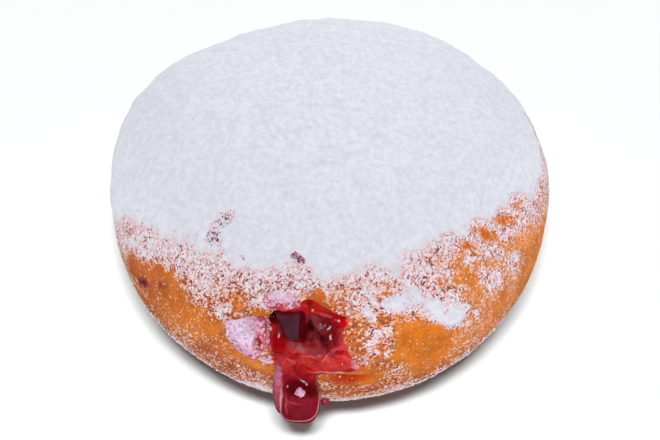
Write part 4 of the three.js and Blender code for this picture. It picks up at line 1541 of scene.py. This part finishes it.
# redder and darker specks between the grains, partly the crust's own moist colour and partly painted shade
# between them; more of them in the dusting and where little powder hides them
clear = times(tree, maths(tree, "SUBTRACT", 1.0, attribute(tree, "filmy")), 0.75)
clear = times(tree, clear, remap(tree, amount, 0.0, 0.25))
speckled = maths(tree, "MAXIMUM", maths(tree, "ADD", remap(tree, amount, 0.1, 0.75), clear), 0.0)
redder = times(tree, remap(tree, dust["Shade"], 0.1, 0.6), remap(tree, speckled, 0.0, 1.0, 0.15, 0.9))
darker = times(tree, remap(tree, dust["Shade"], 0.4, 0.8), remap(tree, speckled, 0.0, 1.0, 0.1, 0.95))
darkColour = blendColours(tree, remap(tree, amount, 0.35, 0.7), looks["darkSpeck"], looks["darkInDust"])
shaded = blendColours(tree, redder, filmed, looks["redSpeck"])
shaded = blendColours(tree, darker, shaded, darkColour)
# grains, white in the dense dusting and golden where it is thin
byTone = remap(tree, dust["Tone"], 0.25, 1.0)
dense = blendColours(tree, byTone, *looks["denseGrains"])
thin = blendColours(tree, byTone, *looks["thinGrains"])
grainColour = blendColours(tree, remap(tree, amount, 0.2, 0.7), thin, dense)
height = maths(tree, "ADD", surface["Height"], times(tree, dust["Height"], 0.5))
into(
    tree,
    shader,
    Base_Color=blendColours(tree, dust["Mask"], shaded, grainColour),
    Roughness=remap(tree, dust["Mask"], 0.0, 1.0, 0.42, 0.9),
)
bump(tree, shader, height, 0.5, 0.15)

# packed powdered sugar: nearly white, a little uneven, pinker and speckled with crust where it lies thin
sugarMaterial, tree, shader = newMaterial("sugar", Roughness=0.95, Specular_IOR_Level=0.1)
place = addNode(tree, "TexCoord").outputs["Object"]
uneven = remap(tree, noiseOf(tree, place, 800.0, 5.0, 0.7), 0.34, 0.66)
packed = blendColours(tree, uneven, *looks["packedSugar"])
amount = attribute(tree, "amount")
dust = useGroup(tree, dustGroup, Amount=amount, Grain=looks["grains"]["sugar"])
bare = blendColours(tree, remap(tree, dust["Tone"], 0.3, 0.8), *looks["wornSugar"])
filmed = blendColours(tree, remap(tree, amount, 0.8, 1.25, 0.35, 0.0), packed, looks["thinSugar"])
into(tree, shader, Base_Color=blendColours(tree, dust["Mask"], bare, filmed))
bump(tree, shader, noiseOf(tree, place, 1700.0, 3.0, 0.7), 0.45, 0.14)

# loose grains: white, or pinker where the jam has touched them
grainMaterial, tree, shader = newMaterial("looseSugar", Roughness=0.8, Specular_IOR_Level=0.15)
surface = mottled(tree, "tint", 300.0, 1500.0, 0.12)
pinker = times(tree, attribute(tree, "stained"), 0.6)
into(tree, shader, Base_Color=blendColours(tree, pinker, surface["Color"], looks["pinkGrain"]))

# jam: a wet, smooth skin, a little lighter at a low angle
jamMaterial, tree, shader = newMaterial(
    "jam",
    Roughness=0.14,
    Specular_IOR_Level=0.6,
    Sheen_Weight=0.4,
    Sheen_Roughness=0.1,
    Sheen_Tint=(1.0, 0.72, 0.72),
)
surface = mottled(tree, "tint", 700.0, 2200.0, 0.3)
into(tree, shader, Base_Color=surface["Color"])
bump(tree, shader, surface["Height"], 0.3, 0.2)

# fruit: wet, with a dull bloom on its flat faces
fruitMaterial, tree, shader = newMaterial("fruit", Specular_IOR_Level=0.45)
surface = mottled(tree, "tint", 500.0, 1800.0, 0.25)
bloom = remap(tree, attribute(tree, "matt"), 0.0, 1.0, 0.24, 0.5)
into(tree, shader, Base_Color=surface["Color"], Roughness=bloom)
bump(tree, shader, surface["Height"], 0.3, 0.15)

# torn crumb: sugared, lilac to pink, with darker wet specks between the grains
tornMaterial, tree, shader = newMaterial("tornCrumb", Specular_IOR_Level=0.15)
surface = mottled(tree, "tint", 600.0, 1700.0, 0.22)
dust = useGroup(tree, dustGroup, Amount=attribute(tree, "dust"), Grain=looks["grains"]["torn"])
deeper = blendColours(tree, 1.0, surface["Color"], looks["crumbPits"], "MULTIPLY")
whiter = remap(tree, dust["Tone"], 0.4, 1.0, 0.0, 0.6)
lighter = blendColours(tree, whiter, surface["Color"], looks["crumbGrains"])
into(
    tree,
    shader,
    Base_Color=blendColours(tree, dust["Mask"], deeper, lighter),
    Roughness=remap(tree, dust["Mask"], 0.0, 1.0, 0.35, 0.85),
)
bump(tree, shader, maths(tree, "ADD", surface["Height"], dust["Height"]), 0.6, 0.18)

# ---- pieces on the part

for piece, slotName, finish in (
    (crustPiece, "crust", crustMaterial),
    (sugarCap, "sugar", sugarMaterial),
    (sugarFringe, "sugar", sugarMaterial),
    *((piece, "sugar", grainMaterial) for piece in sugarGrains),
    (jamPiece, "jam", jamMaterial),
    *((piece, "fruit", fruitMaterial) for piece in fruitPieces.values()),
    *((piece, "crust", tornMaterial) for piece in tornObjects),
):
    piece.data.materials.clear()
    piece.data.materials.append(finish)
    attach(piece, "root")

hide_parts("dough")
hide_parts("sugar_coat")
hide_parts("jam_filling")
for name, spec in fruits.items():
    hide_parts(spec["node"])
print("pieces placed")

# ---- floor, camera and light

stage = {
    "floorHalf": 1500,
    "floor": (0.600, 0.625, 0.620),
    "sky": (0.99, 0.99, 1),
    "horizon": 0.03,
    "zenith": 0.03,
    "front": 0.8,
    "behind": 1.2,
}
view = {"lens": 95.5, "sensor": 36, "nearest": 20, "place": (-0.12, -244.4, 288.6), "tilt": 42}

half = stage["floorHalf"]
corners = [(-half, -half, 0), (half, -half, 0), (half, half, 0), (-half, half, 0)]
floor = makePiece("floor", corners, [np.array([[0, 1, 2, 3]])])
floorMaterial, tree, shader = newMaterial("floor", Roughness=0.7, Specular_IOR_Level=0.2)
surface = useGroup(tree, mottleGroup, Color=stage["floor"], Clouds=20.0, Flecks=90.0, Depth=0.01)
into(tree, shader, Base_Color=surface["Color"])
floor.data.materials.append(floorMaterial)
floor.visible_glossy = False

camera = bpy.data.cameras.new("camera")
camera.lens = view["lens"]
camera.sensor_width = view["sensor"]
camera.clip_start = view["nearest"] * mm
cameraObject = bpy.data.objects.new("camera", camera)
cameraObject.location = np.array(view["place"]) * mm
cameraObject.rotation_euler = (np.radians(view["tilt"]), 0, 0)
bpy.context.scene.collection.objects.link(cameraObject)
bpy.context.scene.camera = cameraObject

# each lamp's diameter, how bright a white surface facing it looks, its azimuth, elevation and distance, what
# it lights, and whether wet places mirror it; lengths are in metres
lamps = {
    "key": (0.14, 0.14, -90, 62, 0.9, "bun", True),
    "front": (0.5, 0.60, -90, 27, 0.9, "bun", False),
    "behindLeft": (0.5, 0.52, 125, 26, 0.9, "bun", False),
    "behindRight": (0.5, 0.53, 55, 26, 0.9, "bun", False),
    "left": (0.5, 0.30, 180, 30, 0.9, "bun", False),
    "right": (0.5, 0.36, 0, 30, 0.9, "bun", False),
    "glintRight": (0.05, 0.04, -60, 50, 0.5, "bun", True),
    "glintLeft": (0.05, 0.04, -120, 55, 0.5, "bun", True),
    "floorLeft": (0.33, 0.95, -98, 62.5, 2.5, "floor", False),
    "floorRight": (0.33, 0.95, -82, 62.5, 2.5, "floor", False),
}
lit = {"bun": bpy.data.collections.new("bunOnly"), "floor": bpy.data.collections.new("floorOnly")}
for piece in bpy.context.scene.collection.objects:
    if piece.type == "MESH":
        lit["floor" if piece == floor else "bun"].objects.link(piece)
for name, (size, light, azimuth, elevation, away, on, mirrored) in lamps.items():
    lamp = bpy.data.lights.new(name, "AREA")
    lamp.shape = "DISK"
    lamp.size = size
    lamp.energy = light * (np.pi * away) ** 2
    lampObject = bpy.data.objects.new(name, lamp)
    lampObject.location = aim(azimuth, elevation) * away + bunCentre * mm
    lampObject.rotation_euler = (np.pi / 2 - np.radians(elevation), 0, np.radians(azimuth) + np.pi / 2)
    bpy.context.scene.collection.objects.link(lampObject)
    lampObject.light_linking.receiver_collection = lit[on]
    lampObject.visible_glossy = mirrored

# a soft tent of light, brighter behind the bun, that wet places don't mirror
world = bpy.data.worlds.new("studio")
world.use_nodes = True
tree = world.node_tree
toward = addNode(tree, "SeparateXYZ", Vector=addNode(tree, "TexCoord").outputs["Generated"])
byHeight = remap(tree, toward.outputs["Z"], 0.0, 1.0, stage["horizon"], stage["zenith"])
byDepth = remap(tree, toward.outputs["Y"], -1.0, 1.0, stage["front"], stage["behind"])
seen = addNode(tree, "LightPath").outputs["Is Camera Ray"]  # the backdrop itself is as pale as the floor
background = tree.nodes["Background"]
feed(tree, background.inputs["Strength"], maths(tree, "MAXIMUM", times(tree, byHeight, byDepth), seen))
feed(tree, background.inputs["Color"], stage["sky"])
world.cycles_visibility.glossy = False
bpy.context.scene.world = world
bpy.context.scene.view_settings.view_transform = "Standard"
bpy.context.scene.view_settings.look = "None"
print("stage set")
